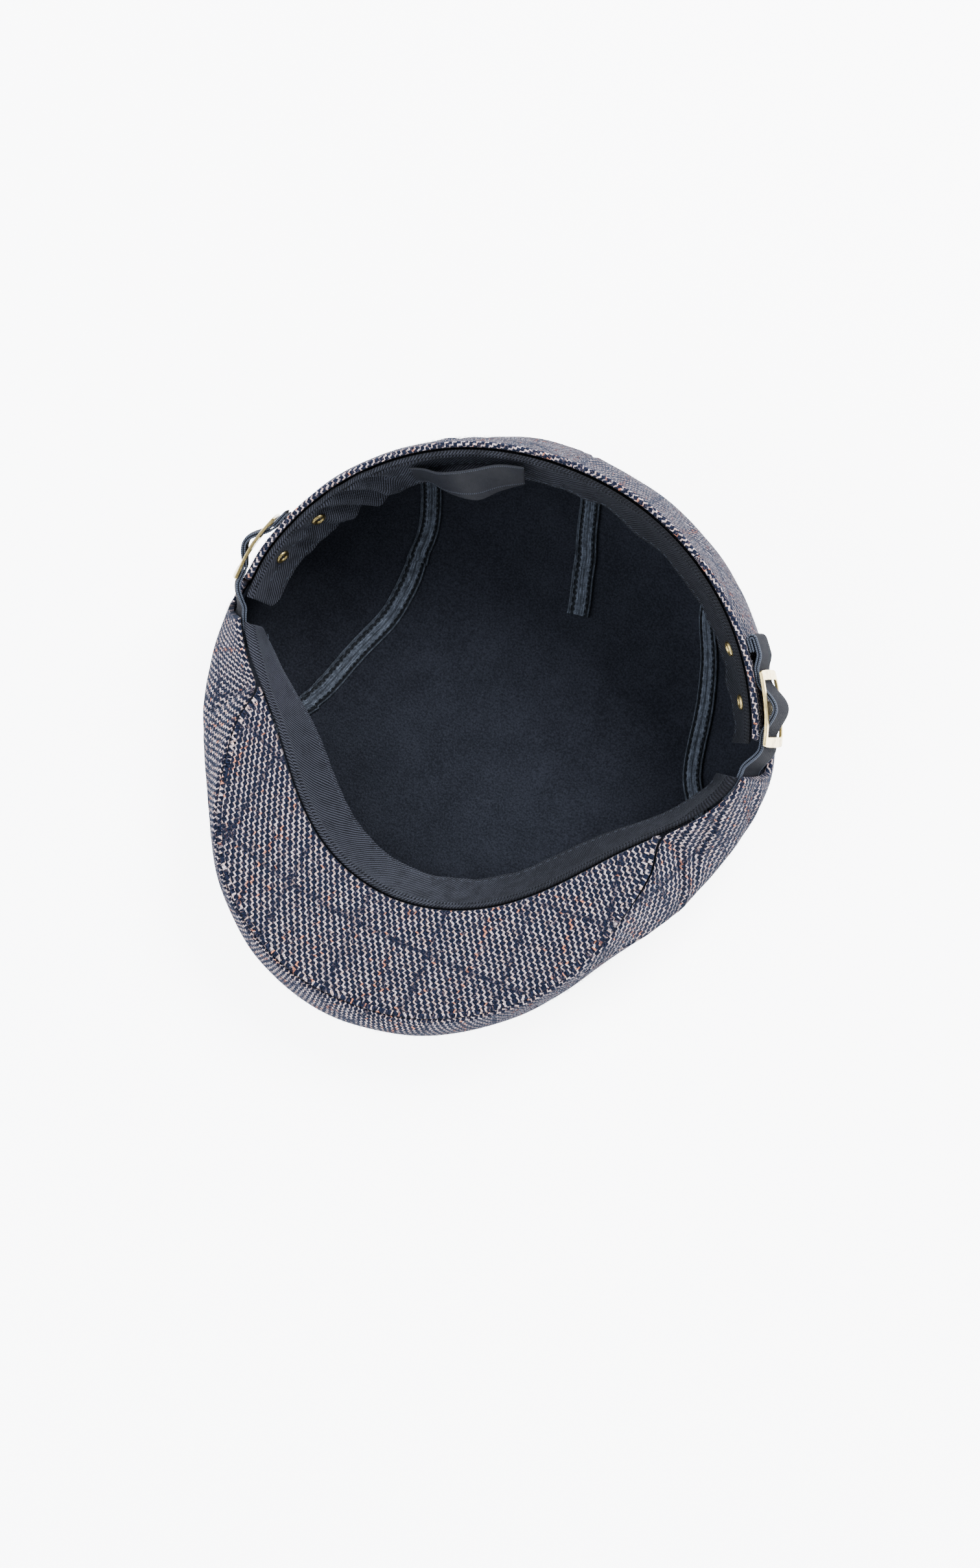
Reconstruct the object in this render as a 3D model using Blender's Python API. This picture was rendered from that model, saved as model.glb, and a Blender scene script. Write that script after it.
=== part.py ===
"""Flat golf cap of brushed tweed, lying upside down on its crown with the hollow upwards.

Metres, +Z up, the peak towards -Y. Angles run round the head from the front, positive towards +X.
The origin is at the middle of the cap's box, on the surface that the cap lies on.
"""

import math

import bmesh
import bpy
import numpy as np

# Head opening and crown
HEAD_RADIUS = 0.103
BELLY_SWELL = 0.010
BELLY_RADIUS = HEAD_RADIUS + BELLY_SWELL
RIM_BACK = 0.092
RIM_FRONT = 0.042
BELLY_HEIGHT = 0.042
CROWN_WALL = 0.0024
LINING_WALL = 0.0010
LINING_START = 0.008
SIDE_ROUNDNESS = 1.6

# How the soft cap lies: its front turned a little to one side, its rim leaning to the other
FRONT_TURN = math.radians(6.334)
SWEEP_START = 0.030
SWEEP_EASE = 0.020
RIM_TILT = math.radians(1.432)

# Peak
PEAK_REACH = 0.044
PEAK_TIP_HEIGHT = 0.034
PEAK_THICKNESS = 0.0036
PEAK_EDGE_THICKNESS = 0.0022
PEAK_BOW = 0.0015
PEAK_ANGLE = math.radians(80)
PEAK_END_MARGIN = math.radians(2)

# Side notches that the straps close
NOTCH_ANGLES = {"right": math.radians(103), "left": math.radians(-98)}
NOTCH_HALF_WIDTH = 0.0075
NOTCH_DEPTH = 0.027

# Sweatband
BAND_WALL = 0.0012
BAND_WIDTH = 0.027
BAND_BELOW_RIM = 0.0010
BAND_GAP = 0.0005

# Straps, buckles and rivets
STRAP_WIDTH = 0.020
STRAP_THICKNESS = 0.0020
STRAP_BELOW_RIM = 0.0015
STRAP_TUCK = 0.012
STRAP_TAIL = 0.0044
LOOP_RISE = 0.0016
BUCKLE_OFFSET = 0.0055
BUCKLE_THICKNESS = 0.0012
BUCKLE_END_BAR = 0.0035
BUCKLE_SLOT = 0.0074
BUCKLE_MIDDLE_BAR = 0.0050
BUCKLE_RAIL = 0.0022
BUCKLE_TO_END = {"right": 0.0110, "left": 0.0035}
RIVET_RADIUS = 0.0030
RIVET_HOLE = 0.0013
RIVET_THICKNESS = 0.0009
RIVET_OFFSETS = (0.022, 0.043)

# Seam tapes and label
TAPE_WIDTH = 0.0088
TAPE_WALL = 0.0010
TAPE_GAP = 0.0007
LABEL_WALL = 0.0010
LABEL_WIDTH = 0.015

# Clearance between pieces that touch, and between the cloth and its lining
GAP = 0.0003
LINING_GAP = 0.0005

# Shares of the named sizes, front to back, the same on both sides:
# opening of HEAD_RADIUS, overhang of PEAK_REACH, belly and rest of BELLY_RADIUS,
# belly_up of BELLY_HEIGHT, band_lean of BAND_WIDTH
FORM_COLUMNS = ("angle", "opening", "overhang", "belly", "belly_up", "rest", "band_lean")
FORM = (
    (0, 0.733, 1.00, 1.151, 0.43, 0.74, 0.38),
    (10, 0.730, 1.00, 1.143, 0.43, 0.74, 0.38),
    (20, 0.724, 0.97, 1.112, 0.45, 0.73, 0.38),
    (30, 0.716, 0.91, 1.065, 0.52, 0.72, 0.38),
    (40, 0.708, 0.82, 1.018, 0.60, 0.70, 0.38),
    (50, 0.706, 0.68, 0.973, 0.68, 0.68, 0.38),
    (60, 0.716, 0.50, 0.953, 0.75, 0.66, 0.37),
    (70, 0.749, 0.30, 0.955, 0.80, 0.65, 0.34),
    (80, 0.820, 0.00, 0.970, 0.83, 0.65, 0.32),
    (88, 0.905, 0.00, 0.983, 0.85, 0.65, 0.28),
    (96, 0.983, 0.00, 0.994, 0.87, 0.65, 0.24),
    (105, 1.012, 0.00, 0.995, 0.90, 0.65, 0.24),
    (118, 1.018, 0.00, 0.992, 0.93, 0.65, 0.26),
    (130, 1.018, 0.00, 0.990, 0.96, 0.66, 0.28),
    (150, 1.012, 0.00, 0.992, 1.00, 0.67, 0.26),
    (180, 1.000, 0.00, 0.992, 1.00, 0.68, 0.22),
)

# Tape routes over the lining: angle in degrees and run, where a run of 0 is the crown's edge,
# 1 its belly, 2 the rim of the flat rest and 3 the middle of the rest
TAPE_ROUTES = {
    "seam_tape_left": ((-149, 0.70), (-147, 1.15), (-144.5, 1.52), (-141, 1.79), (-136, 1.95),
                       (-128, 2.08), (-114, 2.15), (-98, 2.13), (-83, 2.06), (-74, 1.92), (-68, 1.70)),
    "seam_tape_right": ((145, 0.70), (143, 1.10), (141, 1.37), (137, 1.58), (127, 1.71), (117, 1.80),
                        (106, 1.87), (96, 1.85), (89, 1.72), (83, 1.50)),
    "dart_tape_back": ((179, 0.70), (178.5, 1.15), (177, 1.52), (175, 1.83), (171, 2.08),
                       (164.5, 2.28)),
}

# Label, seen along its upper edge: angle in degrees, and shares of LABEL_WIDTH for how far its
# upper and its lower edge stand in from the sweatband and how far its upper edge hangs below the rim
LABEL_COLUMNS = ("angle", "upper_in", "lower_in", "below")
LABEL = (
    (-146, 0.02, 0.02, 0.46),
    (-149, 0.14, 0.16, 0.40),
    (-152, 0.32, 0.46, 0.30),
    (-156, 0.38, 0.72, 0.20),
    (-161, 0.30, 0.80, 0.24),
    (-166, 0.16, 0.55, 0.24),
    (-172, 0.13, 0.28, 0.18),
)

# Finishes: colour, roughness, metallic
TWEED = ("tweed", (0.115, 0.105, 0.125), 0.95, 0.0)
FLEECE = ("fleece", (0.020, 0.026, 0.040), 1.0, 0.0)
TWILL = ("twill", (0.040, 0.043, 0.052), 0.85, 0.0)
TAPE = ("tape", (0.080, 0.090, 0.105), 0.8, 0.0)
SATIN = ("satin", (0.020, 0.021, 0.024), 0.45, 0.0)
ELASTIC = ("elastic", (0.030, 0.033, 0.042), 0.6, 0.0)
BRASS = ("antique_brass", (0.52, 0.42, 0.20), 0.35, 1.0)


def smooth_column(rows, columns, name, degrees):
    """One column of a table at any angles, on a cubic through its rows."""
    at = np.array([row[columns.index("angle")] for row in rows], float)
    value = np.array([row[columns.index(name)] for row in rows], float)
    slope = np.gradient(value, at)
    index = np.clip(np.searchsorted(at, degrees, side="right") - 1, 0, len(at) - 2)
    step = at[index + 1] - at[index]
    t = (degrees - at[index]) / step
    return (
        (2 * t**3 - 3 * t**2 + 1) * value[index]
        + (t**3 - 2 * t**2 + t) * step * slope[index]
        + (3 * t**2 - 2 * t**3) * value[index + 1]
        + (t**3 - t**2) * step * slope[index + 1]
    )


def form(name, angle):
    """A column of FORM, mirrored from one side of the head to the other."""
    folded = np.abs((np.degrees(angle) + 180) % 360 - 180)
    mirrored = [(-row[0],) + row[1:] for row in FORM[:0:-1]]
    behind = [(360 - row[0],) + row[1:] for row in FORM[-2:0:-1]]
    return smooth_column(mirrored + list(FORM) + behind, FORM_COLUMNS, name, folded)


def place(angle, radius, height):
    """The point at an angle, a radius and a height, with the way the soft cap lies."""
    x = radius * np.sin(angle)
    y = -radius * np.cos(angle)
    ahead = np.maximum(SWEEP_START - y, 0)
    x = x - math.tan(FRONT_TURN) * ahead**2 / (ahead + SWEEP_EASE) + math.tan(RIM_TILT) * height
    return np.stack([x, y, height + 0 * x], axis=-1)


def opening_radius(angle):
    return HEAD_RADIUS * form("opening", angle)


def rim_height(angle):
    """The opening's edge lies in a plane that rises from the peak to the back of the head."""
    y = -opening_radius(angle) * np.cos(angle)
    front = -opening_radius(np.zeros(1))[0]
    back = opening_radius(np.full(1, math.pi))[0]
    return RIM_FRONT + (RIM_BACK - RIM_FRONT) * (y - front) / (back - front)


def from_front(angle):
    return np.abs((angle + math.pi) % (2 * math.pi) - math.pi)


def edge(angle):
    """Radius and height of the crown's inner edge: the opening, or the peak's outer edge."""
    radius = opening_radius(angle) + PEAK_REACH * np.maximum(form("overhang", angle), 0)
    share = from_front(angle) / PEAK_ANGLE
    corner = rim_height(np.full(1, PEAK_ANGLE))[0]
    over_peak = PEAK_TIP_HEIGHT + (corner - PEAK_TIP_HEIGHT) * np.minimum(share, 1) ** 1.6
    return radius, np.where(share < 1, over_peak, rim_height(angle))


def skin(angle, run):
    """Outer face of the crown: run 0 at its edge, 1 at its belly, 2 at the rest, 3 at the middle."""
    edge_radius, edge_height = edge(angle)
    edge_radius = edge_radius + CROWN_WALL
    belly = BELLY_RADIUS * form("belly", angle)
    belly_height = BELLY_HEIGHT * form("belly_up", angle)
    rest = BELLY_RADIUS * form("rest", angle)
    turn = np.clip(run - 1, 0, 1) * math.pi / 2
    side = belly - (belly - edge_radius) * (1 - np.minimum(run, 1)) ** SIDE_ROUNDNESS
    under = rest + (belly - rest) * np.cos(turn)
    flat = rest * (3 - run)
    radius = np.where(run <= 1, side, np.where(run <= 2, under, flat))
    side_height = edge_height + (belly_height - edge_height) * run
    height = np.where(run <= 1, side_height, belly_height * (1 - np.sin(turn)))
    return place(angle, radius, height)


def outward(angle, run):
    """Unit normal of the crown's outer face."""
    step = 1e-3
    along = skin(angle + step, run) - skin(angle - step, run)
    down = skin(angle, run + step) - skin(angle, run - step)
    normal = np.cross(down, along)
    size = np.linalg.norm(normal, axis=-1, keepdims=True)
    resting = (run + 0 * angle >= 2)[..., None]
    return np.where(resting, np.array([0.0, 0.0, -1.0]), normal / np.maximum(size, 1e-12))


def wall(angle, run, out=0.0):
    """A point at a distance outside the crown's outer face, or inside it where out is negative."""
    angle, run, out = np.broadcast_arrays(angle, run, out)
    return skin(angle, run) + out[..., None] * outward(angle, run)


def side_depth(angle):
    """Height of the crown's edge above its belly."""
    return edge(angle)[1] - BELLY_HEIGHT * form("belly_up", angle)


def notch_distance(angle):
    """Distance along the rim from the nearest notch's middle."""
    radius = opening_radius(angle)
    return np.min([np.abs(wrapped(angle - at)) * radius for at in NOTCH_ANGLES.values()], axis=0)


def wrapped(angle):
    return (angle + math.pi) % (2 * math.pi) - math.pi


def notch_drop(angle):
    """How far a notch lowers the crown's edge: straight sides and a round bottom."""
    share = np.minimum(notch_distance(angle) / NOTCH_HALF_WIDTH, 1)
    return NOTCH_DEPTH * (1 - share**4)


def lining_drop(angle):
    """Where the lining starts below the crown's edge: lower round a notch, where the strap is."""
    reach = NOTCH_HALF_WIDTH + STRAP_TUCK
    share = np.clip(notch_distance(angle) / reach, 1, 1.5) * 2 - 2
    ease = share**2 * (3 - 2 * share)
    return LINING_START + (NOTCH_DEPTH - LINING_START) * (1 - ease)


def ring_angles(step_degrees):
    """Angles round the head, even but for closer ones at the notches and along the straps."""
    shares = (-3.3, -2.7, -2.1, -1.5, -1.0, -0.92, -0.78, -0.5, 0.0, 0.5, 0.78, 0.92, 1.0, 1.5)
    angles = []
    for at in NOTCH_ANGLES.values():
        turn = math.copysign(NOTCH_HALF_WIDTH, at) / opening_radius(np.full(1, at))[0]
        angles += [at + share * turn for share in shares]
    step = math.radians(step_degrees)
    for index in range(round(2 * math.pi / step)):
        angle = wrapped(index * step)
        if min(abs(wrapped(angle - other)) for other in angles) > 0.45 * step:
            angles.append(angle)
    return np.array(sorted(angles))


def finish(name, points, faces, look):
    """A closed mesh object with its faces pointing out, shaded smooth, in its own material."""
    mesh = bpy.data.meshes.new(name)
    mesh.from_pydata([tuple(map(float, point)) for point in points], [], faces)
    shape = bmesh.new()
    shape.from_mesh(mesh)
    bmesh.ops.recalc_face_normals(shape, faces=shape.faces)
    shape.to_mesh(mesh)
    shape.free()
    mesh.shade_smooth()
    mesh.set_sharp_from_angle(angle=math.radians(40))
    material_name, colour, roughness, metallic = look
    material = bpy.data.materials.new(f"{name}_{material_name}")
    material.use_nodes = True
    shader = material.node_tree.nodes["Principled BSDF"]
    shader.inputs["Base Color"].default_value = (*colour, 1.0)
    shader.inputs["Roughness"].default_value = roughness
    shader.inputs["Metallic"].default_value = metallic
    mesh.materials.append(material)
    made = bpy.data.objects.new(name, mesh)
    bpy.context.collection.objects.link(made)
    return made


def slab(name, outer, inner, look, ring=False, pole=False):
    """A wall between two grids of points: columns round the head, rows from the rim down."""
    columns, rows = outer.shape[:2]
    kept = rows - 1 if pole else rows
    points = list(outer[:, :kept].reshape(-1, 3)) + list(inner[:, :kept].reshape(-1, 3))
    shift = columns * kept
    faces = []

    def corner(side, i, j):
        return side * shift + (i % columns) * kept + j

    for i in range(columns if ring else columns - 1):
        for j in range(kept - 1):
            for side in (0, 1):
                faces.append([corner(side, i, j), corner(side, i, j + 1),
                              corner(side, i + 1, j + 1), corner(side, i + 1, j)][:: 1 - 2 * side])
        faces.append([corner(0, i, 0), corner(0, i + 1, 0), corner(1, i + 1, 0), corner(1, i, 0)])
        if pole:
            faces.append([corner(0, i, kept - 1), 2 * shift, corner(0, i + 1, kept - 1)])
            faces.append([corner(1, i + 1, kept - 1), 2 * shift + 1, corner(1, i, kept - 1)])
        else:
            faces.append([corner(0, i + 1, kept - 1), corner(0, i, kept - 1),
                          corner(1, i, kept - 1), corner(1, i + 1, kept - 1)])
    if pole:
        points += [outer[0, -1], inner[0, -1]]
    if not ring:
        last = columns - 1
        for j in range(kept - 1):
            faces.append([corner(0, 0, j), corner(1, 0, j), corner(1, 0, j + 1), corner(0, 0, j + 1)])
            faces.append([corner(1, last, j), corner(0, last, j),
                          corner(0, last, j + 1), corner(1, last, j + 1)])
    return finish(name, points, faces, look)


def shell_runs(start, side_steps):
    """Runs down the crown from a start that may differ from one angle to the next."""
    side = start[:, None] + (1 - start[:, None]) * np.linspace(0, 1, side_steps + 1)[None, :]
    below = np.array([1.18, 1.36, 1.53, 1.69, 1.85, 2.0, 2.5, 3.0])
    return np.concatenate([side, np.repeat(below[None, :], len(start), axis=0)], axis=1)


def make_crown():
    """Tweed shell: its outer face is the cap's, its edge dips at the two notches."""
    angle = ring_angles(6)
    run = shell_runs(notch_drop(angle) / side_depth(angle), 4)
    column = angle[:, None]
    return slab("crown", wall(column, run), wall(column, run, -CROWN_WALL), TWEED, ring=True, pole=True)


def make_lining():
    """Thin brushed lining inside the tweed, from behind the sweatband all over the hollow."""
    angle = ring_angles(6)
    run = shell_runs(lining_drop(angle) / side_depth(angle), 3)
    column = angle[:, None]
    face = -CROWN_WALL - LINING_GAP
    return slab("lining", wall(column, run, face), wall(column, run, face - LINING_WALL), FLEECE,
                ring=True, pole=True)


def make_peak():
    """Stiff crescent from the opening's front to the crown's edge, thinner and bowed outwards."""
    end = PEAK_ANGLE - PEAK_END_MARGIN
    angle = np.linspace(-end, end, 37)[:, None]
    share = np.linspace(0, 1, 5)[None, :]
    inner_radius = opening_radius(angle)
    outer_radius, outer_height = edge(angle)
    radius = inner_radius + (outer_radius - GAP - inner_radius) * share
    bow = PEAK_BOW * form("overhang", angle) * 4 * share * (1 - share)
    height = rim_height(angle) + (outer_height - rim_height(angle)) * share + bow
    thick = PEAK_THICKNESS + (PEAK_EDGE_THICKNESS - PEAK_THICKNESS) * share**2
    return slab("peak", place(angle, radius, height), place(angle, radius, height - thick), TWEED)


def band_face(angle, share, inside=0.0):
    """Outer face of the sweatband: share 0 at its upper edge, 1 at its lower, leaning inwards."""
    lean = BAND_WIDTH * form("band_lean", angle)
    fall = np.sqrt(BAND_WIDTH**2 - lean**2)
    tucked = np.clip(2 - notch_distance(angle) / (NOTCH_HALF_WIDTH + STRAP_TUCK) * 1.25, 0, 1)
    tucked = np.where(from_front(angle) < from_front(notch_side(angle)), tucked, 0)
    stand = BAND_GAP + (STRAP_THICKNESS + 2 * GAP) * tucked**2 * (3 - 2 * tucked)
    radius = opening_radius(angle) - stand - lean * share**1.3 - inside
    return place(angle, radius, rim_height(angle) - BAND_BELOW_RIM - fall * share)


def notch_side(angle):
    """Angle of the notch on the same side of the head."""
    return np.where(wrapped(angle) >= 0, NOTCH_ANGLES["right"], NOTCH_ANGLES["left"])


def make_band(name, start, end, steps):
    """One run of the sweatband between two angles."""
    angle = np.linspace(start, end, steps + 1)[:, None]
    share = np.linspace(0, 1, 4)[None, :]
    return slab(name, band_face(angle, share), band_face(angle, share, BAND_WALL), TWILL)


def make_sweatband():
    """The band in two runs, along the back of the head and along the front, clear of the notches."""
    clear = NOTCH_HALF_WIDTH / HEAD_RADIUS
    right, left = NOTCH_ANGLES["right"], NOTCH_ANGLES["left"]
    make_band("sweatband_back", right + clear, 2 * math.pi + left - clear, 32)
    make_band("sweatband_front", left + clear, right - clear, 44)


def smooth_route(route, count):
    """Points at even spacing on a cubic through a route's points."""
    points = np.array(route, float)
    knots = np.arange(len(points), dtype=float)
    rows = [(knot, *point) for knot, point in zip(knots, points)]
    at = np.linspace(0, len(points) - 1, count)
    names = ("angle",) + tuple(range(points.shape[1]))
    return np.stack([smooth_column(rows, names, axis, at) for axis in range(points.shape[1])], axis=-1)


def make_tape(name, route):
    """A tape that follows its route over the lining, as wide everywhere, lying on the curve."""
    line = smooth_route(route, 22)
    angle, run = np.radians(line[:, 0]), line[:, 1]
    step = 1e-3
    by_angle = (skin(angle + step, run) - skin(angle - step, run)) / (2 * step)
    by_run = (skin(angle, run + step) - skin(angle, run - step)) / (2 * step)
    along = by_angle * np.gradient(angle)[:, None] + by_run * np.gradient(run)[:, None]
    across = np.cross(outward(angle, run), along)
    across *= (TAPE_WIDTH / 2 / np.linalg.norm(across, axis=1))[:, None]
    frame = np.stack([by_angle, by_run], axis=-1)
    shift = np.linalg.pinv(frame) @ across[..., None]
    sides = np.array([-1.0, 0.0, 1.0])
    angles = angle[:, None] + shift[:, 0] * sides
    runs = run[:, None] + shift[:, 1] * sides
    face = -CROWN_WALL - LINING_GAP - LINING_WALL - TAPE_GAP
    return slab(name, wall(angles, runs, face), wall(angles, runs, face - TAPE_WALL), TAPE)


def make_label():
    """A bare satin tag, sewn on at one end and waving over the sweatband."""
    degrees = np.linspace(LABEL[0][0], LABEL[-1][0], 17)
    columns = {name: np.interp(-degrees, [-row[0] for row in LABEL], [row[i] for row in LABEL])
               for i, name in enumerate(LABEL_COLUMNS)}
    angle = np.radians(degrees)[:, None]
    share = np.linspace(0, 1, 4)[None, :]
    upper, lower, below = (LABEL_WIDTH * columns[name][:, None] for name in LABEL_COLUMNS[1:])
    depth = below + LABEL_WIDTH * share * 0.92
    band_share = depth / BAND_WIDTH
    stand = upper + (lower - upper) * share

    def face(inside):
        return band_face(angle, band_share, BAND_WALL + stand + inside)

    return slab("label", face(0.0), face(LABEL_WALL), SATIN)


def drop_run(angle, drop):
    """Run at a distance below the crown's edge."""
    return drop / side_depth(angle)


def on_rim(side, along, drop, out):
    """A point beside a notch: along the rim to the back, down the wall and out from it."""
    at = NOTCH_ANGLES[side]
    turn = math.copysign(1, at)
    angle = at + turn * along / opening_radius(np.full(1, at))[0]
    return wall(angle, drop_run(angle, drop), out)


def buckle_stations():
    """Distances along the rim of the buckle's ends and slots."""
    steps = (BUCKLE_END_BAR, BUCKLE_SLOT, BUCKLE_MIDDLE_BAR, BUCKLE_SLOT, BUCKLE_END_BAR)
    return BUCKLE_OFFSET + np.concatenate([[0.0], np.cumsum(steps)])


def strap_levels():
    """Distance along the rim, and the level of the strap's middle out from the wall there.

    It starts behind the front of the crown, crosses the notch, runs under the buckle's end bar,
    out over its middle bar and back under.
    """
    start, slot_a, bar_a, bar_b, slot_b, end = buckle_stations()
    behind = -CROWN_WALL - 2 * GAP - STRAP_THICKNESS / 2
    under = GAP + STRAP_THICKNESS / 2
    over = 2 * GAP + STRAP_THICKNESS + BUCKLE_THICKNESS + LOOP_RISE + STRAP_THICKNESS / 2
    return [
        (-NOTCH_HALF_WIDTH - STRAP_TUCK, behind),
        (-NOTCH_HALF_WIDTH * 0.7, behind),
        (NOTCH_HALF_WIDTH * 0.7, under),
        (slot_a, under),
        ((bar_a + bar_b) / 2, over),
        (slot_b, under),
        (end, under),
    ]


def strap_line(side):
    """The strap's middle line, eased from level to level; the long one folds back under itself."""
    levels = strap_levels()
    end, under = levels[-1]
    reach = BUCKLE_TO_END[side]
    fold = end + reach
    folded = reach > STRAP_TAIL
    second = under + STRAP_THICKNESS + GAP if folded else under
    levels = np.array(levels + [(end + reach * 0.55, second), (fold, second)])
    along = np.linspace(levels[0, 0], fold, 44)
    index = np.clip(np.searchsorted(levels[:, 0], along, side="right") - 1, 0, len(levels) - 2)
    share = (along - levels[index, 0]) / (levels[index + 1, 0] - levels[index, 0])
    ease = share**2 * (3 - 2 * share)
    out = levels[index, 1] + (levels[index + 1, 1] - levels[index, 1]) * ease
    line = np.stack([along, out], axis=-1)
    if not folded:
        return line
    turn = np.linspace(math.pi / 2, -math.pi / 2, 7)[1:]
    radius = (second - under) / 2
    bend = np.stack([fold + radius * np.cos(turn), under + radius + radius * np.sin(turn)], axis=-1)
    tail = np.stack([fold - STRAP_TAIL * np.array([0.3, 0.65, 1.0]), np.full(3, under)], axis=-1)
    return np.concatenate([line, bend, tail])


def make_strap(side):
    """A ribbon standing on edge against the rim: its outline swept down the wall."""
    line = strap_line(side)
    tangent = np.gradient(line, axis=0)
    tangent /= np.linalg.norm(tangent, axis=1, keepdims=True)
    normal = np.stack([-tangent[:, 1], tangent[:, 0]], axis=-1) * STRAP_THICKNESS / 2
    drops = STRAP_BELOW_RIM + STRAP_WIDTH * np.linspace(0, 1, 3)[None, :]

    def face(way):
        edge_line = line + way * normal
        return on_rim(side, edge_line[:, :1], drops, edge_line[:, 1:])

    return slab(f"strap_{side}", face(1), face(-1), ELASTIC)


def make_buckle(side):
    """A curved plate with two slots and a middle bar, lying along the rim over the strap."""
    stations = buckle_stations()
    top = STRAP_BELOW_RIM - BUCKLE_RAIL - GAP
    foot = STRAP_BELOW_RIM + STRAP_WIDTH + BUCKLE_RAIL + GAP
    drops = np.array([top, top + BUCKLE_RAIL, (top + foot) / 2, foot - BUCKLE_RAIL, foot])
    low = 2 * GAP + STRAP_THICKNESS
    along, drop = np.meshgrid(stations, drops, indexing="ij")
    inner = on_rim(side, along, drop, np.full(along.shape, low))
    outer = on_rim(side, along, drop, np.full(along.shape, low + BUCKLE_THICKNESS))
    columns, rows = along.shape
    solid = np.ones((columns - 1, rows - 1), bool)
    solid[1, 1:-1] = False
    solid[3, 1:-1] = False
    points = list(outer.reshape(-1, 3)) + list(inner.reshape(-1, 3))
    shift = columns * rows
    faces = []
    for i in range(columns - 1):
        for j in range(rows - 1):
            if not solid[i, j]:
                continue
            cell = [(i, j), (i, j + 1), (i + 1, j + 1), (i + 1, j)]
            faces.append([a * rows + b for a, b in cell])
            faces.append([shift + a * rows + b for a, b in reversed(cell)])
            beside = [(i - 1, j), (i, j + 1), (i + 1, j), (i, j - 1)]
            for k, (a, b) in enumerate(beside):
                if 0 <= a < columns - 1 and 0 <= b < rows - 1 and solid[a, b]:
                    continue
                first, second = cell[k], cell[(k + 1) % 4]
                one, two = first[0] * rows + first[1], second[0] * rows + second[1]
                faces.append([two, one, shift + one, shift + two])
    used = sorted({index for face in faces for index in face})
    renumber = {old: new for new, old in enumerate(used)}
    made = finish(f"buckle_{side}", [points[index] for index in used],
                  [[renumber[index] for index in face] for face in faces], BRASS)
    return made


def make_rivet(side, number, offset):
    """A domed brass eyelet on the sweatband, where the strap's end is fastened through the rim."""
    at = NOTCH_ANGLES[side]
    turn = math.copysign(1, at)
    angle = np.full(1, at + turn * offset / opening_radius(np.full(1, at))[0])
    share = np.full(1, (STRAP_BELOW_RIM + STRAP_WIDTH / 2) / BAND_WIDTH)
    step = 1e-3
    seat = band_face(angle, share, BAND_WALL + GAP)[0]
    sideways = (band_face(angle + step, share) - band_face(angle - step, share))[0]
    downwards = (band_face(angle, share + step) - band_face(angle, share - step))[0]
    inwards = np.cross(sideways, downwards)
    inwards /= np.linalg.norm(inwards)
    sideways /= np.linalg.norm(sideways)
    upright = np.cross(inwards, sideways)
    profile = [(RIVET_HOLE, 0.0), (RIVET_RADIUS, 0.0), (RIVET_RADIUS, 0.4 * RIVET_THICKNESS),
               ((RIVET_RADIUS + RIVET_HOLE) / 2, RIVET_THICKNESS), (RIVET_HOLE, 0.6 * RIVET_THICKNESS)]
    segments = 14
    points, faces = [], []
    for i in range(segments):
        turned = 2 * math.pi * i / segments
        spoke = math.cos(turned) * sideways + math.sin(turned) * upright
        points += [seat + radius * spoke + lift * inwards for radius, lift in profile]
        for j in range(len(profile)):
            here, there = i * len(profile), (i + 1) % segments * len(profile)
            k = (j + 1) % len(profile)
            faces.append([here + j, here + k, there + k, there + j])
    return finish(f"rivet_{side}_{number}", points, faces, BRASS)


def stand_on_origin():
    """Hang every piece on one empty that puts the middle of the cap's box over the origin."""
    pieces = [made for made in bpy.data.objects if made.type == "MESH"]
    corners = np.array([vertex.co for made in pieces for vertex in made.data.vertices])
    low, high = corners.min(axis=0), corners.max(axis=0)
    cap = bpy.data.objects.new("cap", None)
    bpy.context.collection.objects.link(cap)
    cap.location = (-(low[0] + high[0]) / 2, -(low[1] + high[1]) / 2, -low[2])
    for made in pieces:
        made.parent = cap


def main():
    for old in list(bpy.data.objects):
        bpy.data.objects.remove(old)
    make_crown()
    make_lining()
    make_peak()
    make_sweatband()
    for name, route in TAPE_ROUTES.items():
        make_tape(name, route)
    make_label()
    for side in NOTCH_ANGLES:
        make_strap(side)
        make_buckle(side)
        for number, offset in enumerate(RIVET_OFFSETS, start=1):
            make_rivet(side, number, offset)
    stand_on_origin()


main()
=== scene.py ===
"""A flat golf cap of brushed tweed, upside down on its crown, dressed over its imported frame.

Metres, +Z up, the peak towards -Y, the origin under the middle of the cap's box. Angles run round
the head from the front, positive towards +X, and a run goes down the crown: 0 is its edge, 1 its
belly, 2 the rim of the flat that it rests on and 3 the middle of that flat.
"""

import math

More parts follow.
